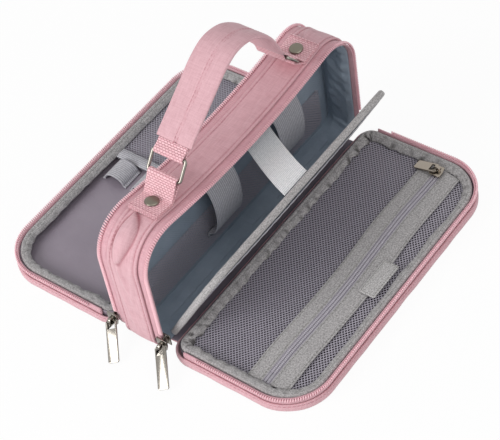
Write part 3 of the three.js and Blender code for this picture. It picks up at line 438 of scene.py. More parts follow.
def row_of(name, lines, piece, spacing, finish):
    """A row of copies of a piece along each line of (points, facings), as one plain mesh at the origin."""
    points, edges, facings = [], [], []
    for places, facing in lines:
        first = len(points)
        points += [tuple(p) for p in places]
        facings += [tuple(f) for f in np.broadcast_to(facing, (len(places), 3))]
        edges += [(first + k, first + k + 1) for k in range(len(places) - 1)]
    mesh = bpy.data.meshes.new(name + "_line")
    mesh.from_pydata(points, edges, [])
    attribute = mesh.attributes.new("facing", "FLOAT_VECTOR", "POINT")
    attribute.data.foreach_set("vector", np.array(facings, float).ravel())
    guide = bpy.data.objects.new(name + "_guide", mesh)
    bpy.context.scene.collection.objects.link(guide)
    modifier = guide.modifiers.new("row", "NODES")
    modifier.node_group = row_along_line
    given = {"Piece": piece, "Spacing": spacing, "Finish": finish}
    for item in row_along_line.interface.items_tree:
        if item.in_out == "INPUT" and item.name in given:
            modifier[item.identifier] = given[item.name]
    bpy.context.view_layer.update()
    seen = guide.evaluated_get(bpy.context.evaluated_depsgraph_get())
    result = bpy.data.meshes.new_from_object(seen)
    result.name = name
    bpy.data.objects.remove(guide)
    made = bpy.data.objects.new(name, result)
    bpy.context.scene.collection.objects.link(made)
    return made


def capsule(name, length, width, height, slant, sides=6, rings=5):
    """A small rounded bar along X, leaned by slant, to be copied along a row."""
    points, faces = [], []
    for k in range(rings + 1):
        a = math.pi * k / rings
        x, r = -math.cos(a) * length / 2, max(math.sin(a), 0.02) ** 0.6
        for i in range(sides):
            b = 2 * math.pi * i / sides
            y = r * width / 2 * math.cos(b)
            points.append((x + slant * y, y, r * height / 2 * math.sin(b)))
    for k in range(rings):
        for i in range(sides):
            j = (i + 1) % sides
            faces.append((k * sides + i, (k + 1) * sides + i, (k + 1) * sides + j, k * sides + j))
    faces += [tuple(range(sides)), tuple(range(rings * sides, (rings + 1) * sides))[::-1]]
    made = new_piece(name, points, faces, coil_nylon)
    outward(made)
    bpy.context.scene.collection.objects.unlink(made)
    return made


coil_loop = capsule("coil_loop", 1.0 * mm, 3.1 * mm, 1.7 * mm, 0.22, sides=8)
stitch = capsule("stitch", 2.1 * mm, 0.42 * mm, 0.34 * mm, 0.1)
stitch_spacing = 2.9 * mm
# Polyester thread is matt and a shade deeper than its cloth, so that the stitches show.
pink_thread = finish_of("pink_polyester_thread", 0.6, colour="#C88A95")[0]
gray_thread = finish_of("gray_polyester_thread", 0.6, colour="#8E8D89")[0]
tape_run = upper(rim, low_radius)
coil_run = upper(rim, coil_foot)


def sewn(name, lines, thread, spacing=stitch_spacing):
    """Rows of stitches along lines of (points, facings)."""
    return row_of(name, lines, stitch, spacing, thread)


def zip_half(name, body, place, section, level, top):
    """Half of a main zip: its tape, from a section of (inset, level) points, and the coil on its edge."""
    rings = np.stack([place(tape_run, *point) for point in section], 1)
    tape = lofted(f"{name}_zip_tape_cloth", rings, zip_tape_cloth)
    coil_line = place(coil_run, coil_inset, level)
    facing = ground_normals(coil_run, place, top)
    coil = row_of(f"{name}_coil", [(coil_line, facing)], coil_loop, coil_spacing, coil_nylon)
    settle(tape, body, "pink_tape", f"{name}_zip_tape")
    settle(coil, body, "pink_teeth", f"{name}_zip_teeth")


for name, side in (("front", -1), ("back", 1)):
    tip = side * half_depth
    tape_section = [
        (tape_inset, side * (band_half - tape_overlap)),
        (tape_inset, side * band_half),
        (tape_inset - 0.5 * mm, side * (band_half + 1.5 * mm)),
        (tape_inset - 0.6 * mm, side * (band_half + 4 * mm)),
        (tape_inset - 0.1 * mm, tip - side * 1.2 * mm),
        (tape_inset, tip),
        (tape_inset + tape_wall, tip),
        (tape_inset + tape_wall, side * (band_half - tape_overlap)),
    ]
    zip_half(f"{name}_body", "body", on_body, tape_section, tip - side * 0.3 * mm, tip)
    seam_line = on_body(rim, 0.25 * mm, side * (band_half - seam_inset))
    facing = ground_normals(rim, on_body, side * band_half)
    settle(sewn(f"{name}_band_stitches", [(seam_line, facing)], pink_thread), "body", "pink_fabric")


# Body lining
# A lining of thin blue-gray coated nylon. It is sewn in along the zip tapes and otherwise hangs loose, so
# that it crumples at the ends of the case.
def coated(name, pale, dark, roughness, relief, blotch=18 * mm):
    """Thin coated nylon: nearly smooth, with soft tone changes and fine creases. The real thread is finer
    than 0.3 mm and is drawn at 0.9 mm."""
    made = finish_of(name, roughness, 0.1)
    tree = made[1]
    places = add(tree, "ShaderNodeUVMap", uv_map="UVMap").outputs["UV"]
    spots = add(tree, "ShaderNodeTexCoord").outputs["Object"]
    tone = add(tree, "ShaderNodeTexNoise", {"Vector": spots, "Scale": 1 / blotch, "Detail": 3})
    creases = {"Vector": spots, "Scale": 4 / blotch, "Detail": 6, "Distortion": 0.8}
    crease = add(tree, "ShaderNodeTexNoise", creases)
    threads = {"Vector": places, "Scale": wave_cycle / (0.9 * mm), "Distortion": 0.3}
    fine = add(tree, "ShaderNodeTexWave", threads, bands_direction="DIAGONAL")
    relieved = {0: fine.outputs["Fac"], 1: 0.12, 2: crease.outputs["Fac"]}
    height = add(tree, "ShaderNodeMath", relieved, operation="MULTIPLY_ADD")
    return dressed(made, tone.outputs["Fac"], pale, dark, height.outputs[0], 0.7, relief)


# The coating has a soft shine that the creases break up.
blue_nylon = coated("blue_gray_coated_nylon", "#ABB8C5", "#8593A2", 0.46, 0.8 * mm)
lining_outer, lining_wall = 3.1 * mm, 0.6 * mm
lining_half = 15 * mm
divider_low, divider_high = 7 * mm, 9 * mm


def lining_crumple(run, level):
    """How far the lining stands inwards from its even surface: most at the ends, nothing at the divider."""
    ends = 0.6 + 1.1 * np.abs(rim[:, 2])
    clear = np.clip(np.abs(level - (divider_low + divider_high) / 2) / (5 * mm) - 0.4, 0, 1)
    edge = np.clip((lining_half - np.abs(level)) / (4 * mm), 0, 1)
    loose = 1.0 + 0.9 * ripple(run, level, 22 * mm, 11) + 0.5 * ripple(run, level, 9 * mm, 12)
    return 1.5 * mm * ends * np.maximum(loose, 0) * clear * edge


rings = []
lining_levels = np.linspace(-lining_half, lining_half, 25)
for inset, levels in ((lining_outer, lining_levels), (lining_outer + lining_wall, lining_levels[::-1])):
    for level in levels:
        rings.append(on_body(rim, inset + lining_crumple(rim[:, 4], level), level))
lining = lofted("body_lining_cloth", np.stack(rings, 1), blue_nylon, round_way=True)
settle(lining, "body", "blue_lining", "body_lining")


# Covers
# Each cover is a shallow tray of foam between pink canvas and mauve nylon. A gray bias binding covers the
# seam inside the rim, and half of the zip stands on the rim along three sides.

# The trays' nylon is thin and smooth with a faint shine. Below the front nets it is painted darker, as
# painted shade from the nets.
mauve_nylon = coated("mauve_coated_nylon", "#A096A1", "#867C88", 0.4, 0.5 * mm, 30 * mm)
pocket_nylon = coated("dark_mauve_pocket_nylon", "#564D57", "#3D363F", 0.5, 0.5 * mm, 30 * mm)
# Heather yarn mixes pale and dark fibres, so that its cloth looks mottled and dull. Its thread is drawn at
# 0.8 mm, so that the weave shows.
heather = woven(
    "gray_heather_binding", "#C2BFBF", "#8B8888", 0.8 * mm, 0.8 * mm, 0.15 * mm,
    roughness=0.9, sheen=0.3, streak=5 * mm, fleck=1.0 * mm,
)
hinge_line = half_depth + 3 * mm
cover_top, cover_floor = 12 * mm, 2.2 * mm
shell_flat, tray_flat = 3 * mm, 6.5 * mm  # insets at which the floors of shell and tray begin
rim_seam_inset, rim_seam_level = 0.35 * mm, 5.7 * mm
binding_top = 11.8 * mm


def laid_open(side, u, v, level):
    """Points of a cover lying open, side being -1 for the front one."""
    u, v, level = np.broadcast_arrays(u, v, level)
    return np.stack([side * u, side * (hinge_line + v), level], -1)


def on_cover(side):
    """The function that gives a cover's points at an inset from an outline, as on_body does."""

    def place(stations, inset, level, roll=0.0):
        return laid_open(side, *drawn_in(stations, inset + roll * np.maximum(0, -stations[:, 3])), level)

    return place


def hinge_roll(level, inset):
    """How far the round hinge side lies in at a level, beyond an inset."""
    radius = cover_top / 2
    return max(0.0, radius - math.sqrt(max(0.0, radius**2 - (radius - level) ** 2)) - inset)


def planar(piece, across, up_way, least=0.0):
    """UVs in metres from two coordinates of a piece, on the faces that lie flat enough in their plane."""
    mesh = piece.data
    layer = mesh.uv_layers.get("UVMap") or mesh.uv_layers.new(name="UVMap")
    for face in mesh.polygons:
        if abs(face.normal[3 - across - up_way]) >= least:
            for corner in face.loop_indices:
                place = mesh.vertices[mesh.loops[corner].vertex_index].co
                layer.data[corner].uv = (place[across], place[up_way])


def merged(piece, distance=0.02 * mm, fill=False):
    """Closes seams and poles by merging points, drops faces without area and, if asked, fills open rings."""
    shape = bmesh.new()
    shape.from_mesh(piece.data)
    bmesh.ops.remove_doubles(shape, verts=shape.verts, dist=distance)
    bmesh.ops.dissolve_degenerate(shape, edges=shape.edges, dist=distance / 4)
    if fill:
        bmesh.ops.holes_fill(shape, edges=shape.edges, sides=0)
    shape.to_mesh(piece.data)
    shape.free()


def closed_skin(name, rings, finish, *plane, fill=False):
    """A skin whose end rings close on a point or a line, with flat UVs where a plane is given."""
    made = lofted(name, np.stack(rings), finish, caps=False)
    merged(made, fill=fill)
    outward(made)
    if plane:
        planar(made, *plane)
    return made


def drawn_together(stations, inset, share):
    """Places (u, v) from an inset outline, at share 1, to the middle line of its plate, at share 0."""
    u, v = drawn_in(stations, inset)
    middle = (v.max() + v.min()) / 2
    reach = u.max() - (v.max() - v.min()) / 2
    spine = np.clip(u, -reach, reach)
    return spine + (u - spine) * share, middle + (v - middle) * share


def floor_rings(inset, shares, level_at, side):
    """Rings of a cover from an inset outline in to its middle line, at the levels of a function."""
    rings = []
    for share in shares:
        u, v = drawn_together(rim, inset, share)
        rings.append(laid_open(side, u, v, level_at(u, v, share)))
    return rings


shares_in = np.concatenate([np.linspace(1, 0.1, 22), [0.0]])
shell_section = (
    (3.0, 0.0), (1.4, 0.25), (0.4, 1.0), (-0.1, 2.4), (-0.15, 4.0), (0.15, 5.2), (0.5, 5.7), (0.2, 6.2),
    (0.3, 6.8), (0.9, 7.0), (1.6, 6.8), (1.6, 3.8), (3.0, 2.2),
)
tray_under = ((4.4, 2.5), (3.2, 3.4), (3.2, 9))
tray_wall = ((3.2, 10), (3.7, 10), (3.75, 6.5), (4.1, 4.2), (5.0, 3.3))
binding_section = (
    (3.9, 9.2), (4.0, 10.6), (4.5, 11.5), (5.4, 11.75), (6.3, 11.45), (6.8, 11.0), (7.3, 11.1), (8.3, 10.6),
    (9.4, 9.7), (10.4, 8.6), (10.7, 8.1), (10.2, 7.9), (8.6, 9.0), (6.4, 9.9), (4.9, 10.0),
)
cover_tape_section = (
    (1.9, 4.1), (1.9, 6.9), (1.5, 7.6), (1.35, 9.0), (1.5, 10.8), (1.9, 12.0), (2.8, 12.0), (2.8, 4.1),
)
run = rim[:, 4]
for name, side in (("front", -1), ("back", 1)):
    body = f"{name}_cover"
    place = on_cover(side)
    puff = ripple(run, 0 * run, 26 * mm, 21 + side)
    rings = []
    for inset, level in np.array(shell_section) * mm:
        swell = 0.35 * mm * puff * (inset < mm)
        rings.append(place(rim, inset - swell, level, hinge_roll(level, inset)))
    under, above = (
        floor_rings(shell_flat, shares, lambda u, v, share: level, side)
        for shares, level in (((0.0, 0.5, 0.9), 0.0), ((0.9, 0.5, 0.0), cover_floor))
    )
    shell = closed_skin(f"{body}_canvas", under + rings + above, canvas, 0, 1, 0.7)
    settle(shell, body, "pink_fabric", f"{body}_shell")
    seam_line = place(rim, rim_seam_inset, rim_seam_level, hinge_roll(rim_seam_level, 0.4 * mm))
    facing = ground_normals(rim, place, rim_seam_level)
    settle(sewn(f"{body}_rim_stitches", [(seam_line, facing)], pink_thread), body, "pink_fabric")

    def tray_level(u, v, share, side=side):
        """The level of the tray's cloth, domed over the foam and drawn tight at its edge."""
        dome = 0.9 * mm * (1 - share**3)
        wave = 0.5 * mm * ripple(u, v, 60 * mm, 31 + side) * (1 - share**4)
        tension = np.clip(share * 1.4 - 0.2, 0, 1) * (1 - share**8)
        return 3.0 * mm + dome + wave + 0.25 * mm * ripple(u, v, 16 * mm, 41 + side) * tension

    wall = [place(rim, inset, level) for inset, level in np.array(tray_under + tray_wall) * mm]
    below = floor_rings(tray_flat, (0.5, 1.0), lambda u, v, share: 2.5 * mm, side)
    tray = floor_rings(tray_flat, shares_in, tray_level, side)
    # The front tray takes the darker nylon, painted shade for the nets over it.
    nylon = pocket_nylon if side < 0 else mauve_nylon
    tray_lining = closed_skin(f"{body}_tray", below + wall + tray, nylon, 0, 1, fill=True)
    settle(tray_lining, body, "mauve_lining", f"{body}_lining")

    # The binding is squeezed round the corners, and at the near end its free edge stands up in waves.
    low_share = 0.35 + 0.65 * np.exp(-((rim[:, 1] / (18 * mm)) ** 2))
    corners = np.exp(-(((np.abs(rim[:, 0]) - case_half + 12 * mm) / (16 * mm)) ** 2)) * low_share
    squeezed = 0.5 + 2.6 * corners + 0.6 * np.exp(-((rim[:, 1] / (10 * mm)) ** 2))
    wide = ripple(run, 0 * run, 34 * mm, 61 + side)
    near_end = np.clip(-side * rim[:, 2], 0, 1) ** 2
    waves = ripple(run, 0 * run, 9 * mm, 71 + side)
    rings, reliefs = [], []
    for inset, level in binding_section:
        free = max(0.0, (inset - 4.6) / 6.2)
        pucker = squeezed * ripple(run + 0.6 * inset * mm, 0 * run, 8 * mm, 51 + side)
        crumple = squeezed * ripple(run - 0.9 * inset * mm, 0 * run, 4.5 * mm, 53 + side)
        rise = 0.75 * mm * free * pucker + 0.28 * mm * free**0.5 * crumple
        spread = 1.0 * mm * free * wide + 0.7 * mm * free * np.roll(pucker, 3)
        lift = near_end * free * (1.7 + 0.9 * waves) * mm
        spread = spread + near_end * free * 1.1 * mm * np.roll(waves, 2)
        rings.append(place(rim, inset * mm + spread, np.minimum(level * mm + rise + lift, binding_top)))
        reliefs.append(rise)
    binding = lofted(f"{body}_bias_binding", np.stack(rings, 1), heather, round_way=True)
    # The binding's puckers are darkened with painted shade.
    store_crease_shade(binding, np.stack(reliefs, 1), 2, 0.36 * mm)
    settle(binding, body, "gray_binding", f"{body}_binding")
    groove = place(rim, 6.8 * mm + 0.35 * mm * wide, 11.15 * mm)
    settle(sewn(f"{body}_binding_stitches", [(groove, (0, 0, 1))], gray_thread), body, "gray_binding")
    zip_half(body, body, place, np.array(cover_tape_section) * mm, cover_top - 0.25 * mm, cover_top)


# Divider with its net pocket and elastics
# A padded blue-gray panel stands across the whole body. A net pocket with an elastic top is sewn low on its
# front, and two wide ribbed elastics stand off it above the pocket.

# Knitted polyester yarn: matt, with a little sheen. Its strands are a little thicker than the real ones, so
# that the gaps between them show.
net_yarn = finish_of("gray_knitted_net", 0.7, 0.3, colour="#ACA7B2")[0]
net_pitch, net_strand, net_thick = np.array([2.9, 2.3]) * mm, 0.34 * mm, 0.32 * mm
net_hem, divider_net_hem = 1.2 * mm, 1.4 * mm


def net_sheet(name, region, hem, surface_at):
    """A knitted net as real strands. region is a convex anticlockwise contour in (a, b); surface_at(a, b)
    gives points and the net's normal. Diamond gaps fill it and a plain strip runs round its edge."""
    region = np.asarray(region, float)
    ways = np.roll(region, -1, 0) - region
    lengths = np.hypot(*ways.T)
    normals = np.stack([-ways[:, 1], ways[:, 0]], -1)[lengths > 1e-9] / lengths[lengths > 1e-9, None]
    starts = region[lengths > 1e-9]

    def depth(points):
        return ((points[..., None, :] - starts) * normals).sum(-1).min(-1)

    low, high = region.min(0), region.max(0)
    columns = int((high[0] - low[0]) / net_pitch[0]) + 2
    rows = int((high[1] - low[1]) / (net_pitch[1] / 2)) + 2
    c, r = np.meshgrid(np.arange(columns), np.arange(rows), indexing="ij")
    centres = np.stack([c + (r % 2) / 2, r / 2], -1).reshape(-1, 2) * net_pitch + low
    centres = centres[depth(centres) > hem * 0.7]
    corners = np.array([(1, 0), (0, 1), (-1, 0), (0, -1)]) * net_pitch / 2
    hole = corners * (1 - 2 * net_strand / min(net_pitch))
    flat = np.concatenate([(centres[:, None] + ring).reshape(-1, 2) for ring in (corners, hole)])
    count, size = len(centres) * 4, len(flat)
    first, k = np.arange(len(centres))[:, None] * 4, np.arange(4)[None]
    o, o2 = first + k, first + (k + 1) % 4
    quads = np.stack([o, o2, o2 + count, o + count], -1).reshape(-1, 4)
    points, normal = surface_at(flat[:, 0], flat[:, 1])
    both = np.concatenate([points + normal * net_thick / 2, points - normal * net_thick / 2])
    sides = np.stack([o + count, o2 + count, o2 + count + size, o + count + size], -1).reshape(-1, 4)
    faces = np.concatenate([quads, quads[:, ::-1] + size, sides])
    made = new_piece(name, both, faces.tolist(), net_yarn)
    merged(made, 0.01 * mm)
    made.data.polygons.foreach_set("use_smooth", [False] * len(made.data.polygons))
    return made


def ribbed(name, pale, dark, rib, relief, way="Y"):
    """Narrow woven elastic or webbing with ribs, its yarn a little uneven in tone. Its ribs are painted paler
    on their crowns and darker between them, as painted highlight and shade.
    """
    made = finish_of(name, 0.75, 0.2)
    tree = made[1]
    places = add(tree, "ShaderNodeUVMap", uv_map="UVMap").outputs["UV"]
    cords = {"Vector": places, "Scale": wave_cycle / rib, "Distortion": 0.25, "Detail": 2}
    ribs = add(tree, "ShaderNodeTexWave", cords, bands_direction=way, wave_profile="SIN")
    uneven = add(tree, "ShaderNodeTexNoise", {"Vector": places, "Scale": 1 / (1.5 * mm), "Detail": 3})
    shares = {0: ribs.outputs["Fac"], 1: 0.65, 2: uneven.outputs["Fac"]}
    tone = add(tree, "ShaderNodeMath", shares, operation="MULTIPLY_ADD").outputs[0]
    level = add(tree, "ShaderNodeMapRange", {"Value": tone, "From Min": 0.35, "From Max": 1.15})
    return dressed(made, level.outputs[0], pale, dark, tone, 0.8, relief)


# Standing elastic is matt; its cords carry painted highlight on top and painted shade between. They are
# drawn at 1.5 mm, so that they show.
elastic_weave = ribbed("gray_ribbed_elastic", "#CECDD2", "#97959D", 1.5 * mm, 0.35 * mm)

divider_inset, divider_wall = 4.1 * mm, divider_high - divider_low
divider_section = [(share, 0.0) for share in (0.0, 0.3, 0.6, 0.8, 0.9, 0.96, 0.985)] + [(1.0, 0.15)]
divider_section += [(share, 1 - level) for share, level in divider_section[::-1]]
rings = []
for share, level in divider_section:
    u, v = drawn_together(rim, divider_inset, share)
    soft = 0.5 * mm * (1 - share**4) + 0.2 * mm * ripple(u, v, 45 * mm, 71) * (1 - share**6)
    out = soft if level > 0.5 else -soft
    rings.append(sagged(u, divider_low + level * divider_wall + out * 0.6, v))
divider = closed_skin("divider_panel", rings, blue_nylon, 0, 2)
settle(divider, "body", "blue_lining", "centre_divider")

pocket_low, pocket_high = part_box("divider_pocket")
pocket_half, pocket_base, pocket_mouth = pocket_high.x, pocket_low.z, pocket_high.z


def divider_net_at(a, b):
    """Points of the divider's net, which bulges a little between its seams, and its normal."""
    bulge = 0.5 * mm * np.sin(np.clip((b - pocket_base) / (pocket_mouth - pocket_base), 0, 1) * math.pi)
    y = pocket_high.y - 0.35 * mm - bulge
    return np.stack([a, y, b], -1), np.array([0.0, -1.0, 0.0])


def round_plate(half, low, high, radius, steps=6):
    """An anticlockwise contour of a rectangle with round corners."""
    points = []
    for cu, cv, start in (
        (half - radius, low + radius, -0.5),
        (half - radius, high - radius, 0.0),
        (-half + radius, high - radius, 0.5),
        (-half + radius, low + radius, 1.0),
    ):
        for k in range(steps + 1):
            a = math.pi * (start + 0.5 * k / steps)
            points.append((cu + radius * math.cos(a), cv + radius * math.sin(a)))
    return np.array(points)


pocket_face = round_plate(pocket_half, pocket_base, pocket_mouth, 6 * mm)
divider_net = net_sheet("divider_net", pocket_face, divider_net_hem, divider_net_at)
settle(divider_net, "body", "gray_net", "divider_pocket")


def thick_way_of(path, width_way):
    """The direction of a band's thickness along its path."""
    way = np.gradient(path, axis=0)
    way /= np.linalg.norm(way, axis=1, keepdims=True)
    thick = np.cross(way, np.broadcast_to(width_way, path.shape))
    return thick / np.linalg.norm(thick, axis=1, keepdims=True)


def band_along(name, path, width_way, width, wall, finish):
    """A flat band with soft edges along a path of points; width_way is the direction of its width."""
    path, across = np.asarray(path, float), np.asarray(width_way, float)
    thick = thick_way_of(path, across)
    half, edge = width / 2, wall / 4
    cuts = [-half + edge, *np.linspace(-half + 2 * edge, half - 2 * edge, 9), half - edge]
    profile = (
        [(a, wall / 2) for a in cuts]
        + [(half, wall / 4), (half, -wall / 4)]
        + [(a, -wall / 2) for a in cuts[::-1]]
        + [(-half, -wall / 4), (-half, wall / 4)]
    )
    rings = np.stack([path + across * a + thick * b for a, b in profile], 1)
    return lofted(name, rings, finish)


def smooth_path(points, step):
    """A smooth line through points, resampled to even steps."""
    points = np.asarray(points, float)
    ends = np.vstack([2 * points[0] - points[1], points, 2 * points[-1] - points[-2]])
    found = []
    for k in range(1, len(ends) - 2):
        p0, p1, p2, p3 = ends[k - 1 : k + 3]
        for t in np.linspace(0, 1, 16, endpoint=False):
            bow = (2 * p0 - 5 * p1 + 4 * p2 - p3) * t**2 + (3 * p1 - p0 - 3 * p2 + p3) * t**3
            found.append((2 * p1 + (p2 - p0) * t + bow) / 2)
    found.append(points[-1])
    found = np.array(found)
    run = run_along(found)
    even = np.linspace(0, run[-1], max(2, round(run[-1] / step)) + 1)
    return np.stack([np.interp(even, run, found[:, i]) for i in range(found.shape[1])], -1)


along_case = (1, 0, 0)
for name in ("near_divider_elastic", "far_divider_elastic"):
    low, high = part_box(name)
    middle, span = (low.x + high.x) / 2, 23 * mm
    centre, face = (low.z + high.z) / 2, high.y - 0.6 * mm
    reach = high.y - low.y - 0.7 * mm
    arc = [
        (middle, face - reach * math.cos(a) ** 0.8, centre + span * math.sin(a))
        for a in np.linspace(-1.5, 1.5, 25)
    ]
    line = smooth_path([(middle, face, low.z + 0.5 * mm), *arc, (middle, face, high.z - 0.5 * mm)], 1.5 * mm)
    elastic = band_along(f"{name}_band", line, along_case, high.x - low.x, 1.1 * mm, elastic_weave)
    settle(elastic, "body", "gray_elastic", name)


def pad_on(name, low, high, normal, section, radius, finish):
    """A square of tape with soft edges, sewn on across an axis; its section is (share, place on the axis)."""
    across, up_way = [axis for axis in range(3) if axis != normal]
    centre = np.array([0.0, (low[up_way] + high[up_way]) / 2])
    contour = round_plate((high[across] - low[across]) / 2, low[up_way], high[up_way], radius, 4)
    rings = []
    for share, level in section:
        flat = centre + (contour - centre) * share
        ring = np.full((len(flat), 3), level)
        ring[:, across], ring[:, up_way] = (low[across] + high[across]) / 2 + flat[:, 0], flat[:, 1]
        rings.append(ring)
    return closed_skin(name, rings, finish, across, up_way)


patch_low, patch_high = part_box("strap_patch")
patch_middle = (patch_low.x + patch_high.x) / 2
patch_section = ((0.0, 0.8), (0.9, 0.8), (1.0, 0.6), (1.0, 0.0), (0.0, 0.0))
patch_section = [(share, patch_high.y - level * mm) for share, level in patch_section]
patch = pad_on("strap_patch_tape", patch_low, patch_high, 1, patch_section, 1.5 * mm, heather)
settle(patch, "body", "gray_elastic", "strap_patch")


# Page
# A stiff blue-gray page with a wide heather binding hinges inside the front edge. Its outer side carries a
# net pocket with a gathered mouth, and a ribbed strap ties its top to the patch on the divider.
page_joint = next(j for j in frame["joints"] if j["name"] == "page_hinge")
page_pivot = np.array(page_joint["pos_m"], float)
page_lean = math.radians(30)
page_half, page_tall, page_wall = 100 * mm, 80 * mm, 2 * mm
page_top_radius, page_low_radius = 22 * mm, 6 * mm
page_rim = outline(page_half, page_tall, page_top_radius, page_low_radius, 1.3 * mm)


def on_page(u, level, v):
    """Places on the leaning page from its length, its thickness and its height."""
    cosine, sine = math.cos(page_lean), math.sin(page_lean)
    u, level, v = np.broadcast_arrays(u, level, v)
    return page_pivot + np.stack([u, level * cosine - v * sine, level * sine + v * cosine], -1)


page_out = on_page(0, -1.0, 0) - on_page(0, 0.0, 0)
page_section = [(share, -1.0) for share in (0.0, 0.4, 0.7, 0.9, 0.985)] + [(1.0, -0.6)]
page_section += [(share, -level) for share, level in page_section[::-1]]
rings = []
for share, level in page_section:
    u, v = drawn_together(page_rim, 0.1 * mm, share)
    rings.append(on_page(u, level * page_wall / 2, v))
page_board = closed_skin("page_board", rings, blue_nylon, 0, 2)
settle(page_board, "page", "blue_lining", "page_panel")

page_open = upper(page_rim, page_low_radius)
run = page_open[:, 4]
flutter = ripple(run, 0 * run, 9 * mm, 81)
slow = ripple(run, 0 * run, 40 * mm, 82)
fold_section = [
    (10.2, 1.35), (10.0, 1.9), (7.5, 2.2), (4.5, 2.1), (2.0, 2.3), (0.0, 2.2), (-0.9, 1.5), (-1.2, 0.0),
]
mirrored = [(inset, -level) for inset, level in fold_section[-2::-1]]
rings = []
for inset, level in fold_section + mirrored + [(-0.35, -1.3), (-0.35, 1.3)]:
    free = np.clip(inset / 10, 0, 1) if abs(level) > 1.32 else 0.0
    u, v = drawn_in(page_open, inset * mm + 0.35 * mm * slow * free)
    lift = 0.16 * mm * flutter * np.sign(level) if abs(level) > 1.5 else 0.0
    rings.append(on_page(u, level * mm + lift, v))
page_fold = lofted("page_bias_binding", np.stack(rings, 1), heather)
settle(page_fold, "page", "gray_binding", "page_binding")
u, v = drawn_in(page_open, 8.3 * mm)
page_seams = [(on_page(u, side * 2.25 * mm, v), -page_out * side) for side in (-1, 1)]
settle(sewn("page_binding_stitches", page_seams, gray_thread), "page", "gray_binding")

page_net_low, page_net_top = 6.5 * mm, 62 * mm
net_half = page_half - 10.3 * mm
page_region = [(-net_half, page_net_low), (net_half, page_net_low)]
page_region += [(net_half, page_net_top), (-net_half, page_net_top)]


def gathered(a):
    """How much a place along the page's net is free of its sewn ends, and the gathers of the net there."""
    free = np.clip(1 - (a / net_half) ** 2, 0, 1)
    gather = 0.12 * mm * np.sin(2 * math.pi * a / (9 * mm) + 2 * np.sin(a / (11 * mm))) * free**0.3
    return free, gather


def page_net_at(a, b):
    """Points of the page's net, which stands off further towards its gathered mouth, and its normal."""
    share = np.clip((b - page_net_low) / (page_net_top - page_net_low), 0, 1)
    free, gather = gathered(a)
    out = 0.5 * mm + 1.5 * mm * share**1.5 * free**0.5 + gather * share**3
    return on_page(a, -page_wall / 2 - np.maximum(out, 0.35 * mm), b), page_out


page_net = net_sheet("page_net", page_region, net_hem, page_net_at)
settle(page_net, "page", "gray_net", "page_pocket_net")
mouth = np.linspace(-net_half, net_half, 260)
mouth_free, gather = gathered(mouth)
mouth_out = 0.6 * mm + 1.5 * mm * mouth_free**0.5
mouth_section = (
    (0.0, 0.55), (1.2, 0.85), (2.6, 0.7), (4.0, 0.9), (5.0, 0.5), (5.2, 0.0), (4.6, -0.3), (0.5, -0.3),
)
rings = []
for up, out in mouth_section:
    wave = gather * (1.0 - 0.35 * up / 5)
    lift = 0.2 * mm * ripple(mouth, 0 * mouth, 20 * mm, 91) * up / 5
    level = -page_wall / 2 - mouth_out - wave - out * mm * 0.6
    rings.append(on_page(mouth, level, page_net_top + up * mm + lift))
page_mouth = lofted("page_pocket_mouth", np.stack(rings, 1), elastic_weave)
settle(page_mouth, "page", "gray_elastic", "page_pocket_elastic")

# The strap is almost white, and its ribs, with painted highlight and shade, lie across it.
pale_ribs = ribbed("pale_ribbed_webbing", "#FAFBFC", "#CFD3D6", 1.25 * mm, 0.3 * mm, "X")
strap_face, strap_level = patch_low.y - 0.8 * mm, page_tall - 5 * mm
strap_top = np.array([patch_middle, strap_face, patch_high.z - 2 * mm])
strap_turn = np.array([patch_middle, strap_face, patch_low.z + 2 * mm])
strap_bend = on_page(patch_middle - 26 * mm, page_wall / 2 + 12 * mm, strap_level)
strap_foot = on_page(patch_middle - 26 * mm, page_wall / 2 + 1.7 * mm, strap_level)
t = np.linspace(0, 1, 80)[:, None]
strap_line = (1 - t) ** 3 * strap_top + 3 * (1 - t) ** 2 * t * strap_turn
strap_line += 3 * (1 - t) * t**2 * strap_bend + t**3 * strap_foot
strap_line = strap_line[int(np.argmax(strap_line[:, 2] < patch_high.z - 10 * mm)) :]
page_strap = band_along("page_strap_webbing", strap_line, along_case, 24 * mm, 0.95 * mm, pale_ribs)
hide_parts("page_strap")
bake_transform(page_strap)
# A darker matt thread stands out as a square of stitches on the pale strap.
dark_thread = finish_of("dark_gray_thread", 0.6, colour="#5A5856")[0]
seam_near, seam_far = patch_middle - 9 * mm, patch_middle + 9 * mm
seam_low, seam_high = patch_high.z - 9 * mm, patch_high.z - 2 * mm
seam_face = patch_low.y - 0.1 * mm
strap_seams = [
    ([(x0, seam_face, z0), (x1, seam_face, z1)], (0, -1, 0))
    for x0, z0, x1, z1 in (
        (seam_near, seam_low, seam_far, seam_low),
        (seam_near, seam_low, seam_near, seam_high),
        (seam_far, seam_low, seam_far, seam_high),
        (seam_near, seam_high, seam_far, seam_high),
    )
]
settle(sewn("page_strap_stitches", strap_seams, dark_thread), "body", "pale_webbing")

tape_half, tape_middle = 89.5 * mm, page_wall / 2 + 0.7 * mm
tape_line = [
    on_page(0, tape_middle, 9 * mm),
    on_page(0, tape_middle + 0.05 * mm, 4 * mm),
    *(np.array([0, y, z]) * mm for y, z in ((-13.1, 4.7), (-9.5, 4.5), (-5.0, 4.5))),
]
tape_path = smooth_path(tape_line, 0.8 * mm)
page_tape = band_along("page_hinge_cloth", tape_path, along_case, 2 * tape_half, 0.5 * mm, blue_nylon)
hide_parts("page_hinge_tape")
tuple(tape_line[1])
tuple(tape_line[3])
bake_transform(page_tape)


# Front pocket
# Two net panels are sewn in under the binding and meet a zip set between heather strips. The zip is lavender
# nylon, closed, with its slider at the far end, and a square of loop tape is stitched on for the strap.
net_level = 7.3 * mm
zip_line, zip_gap = 67.5 * mm, 5.4 * mm
inner_width, outer_width = 11 * mm, 13 * mm
net_inset = 4.1 * mm
net_rim = outline(case_half, case_height, top_radius, low_radius, 5 * mm)
net_contour = np.stack(drawn_in(net_rim, net_inset), -1)[::-1]


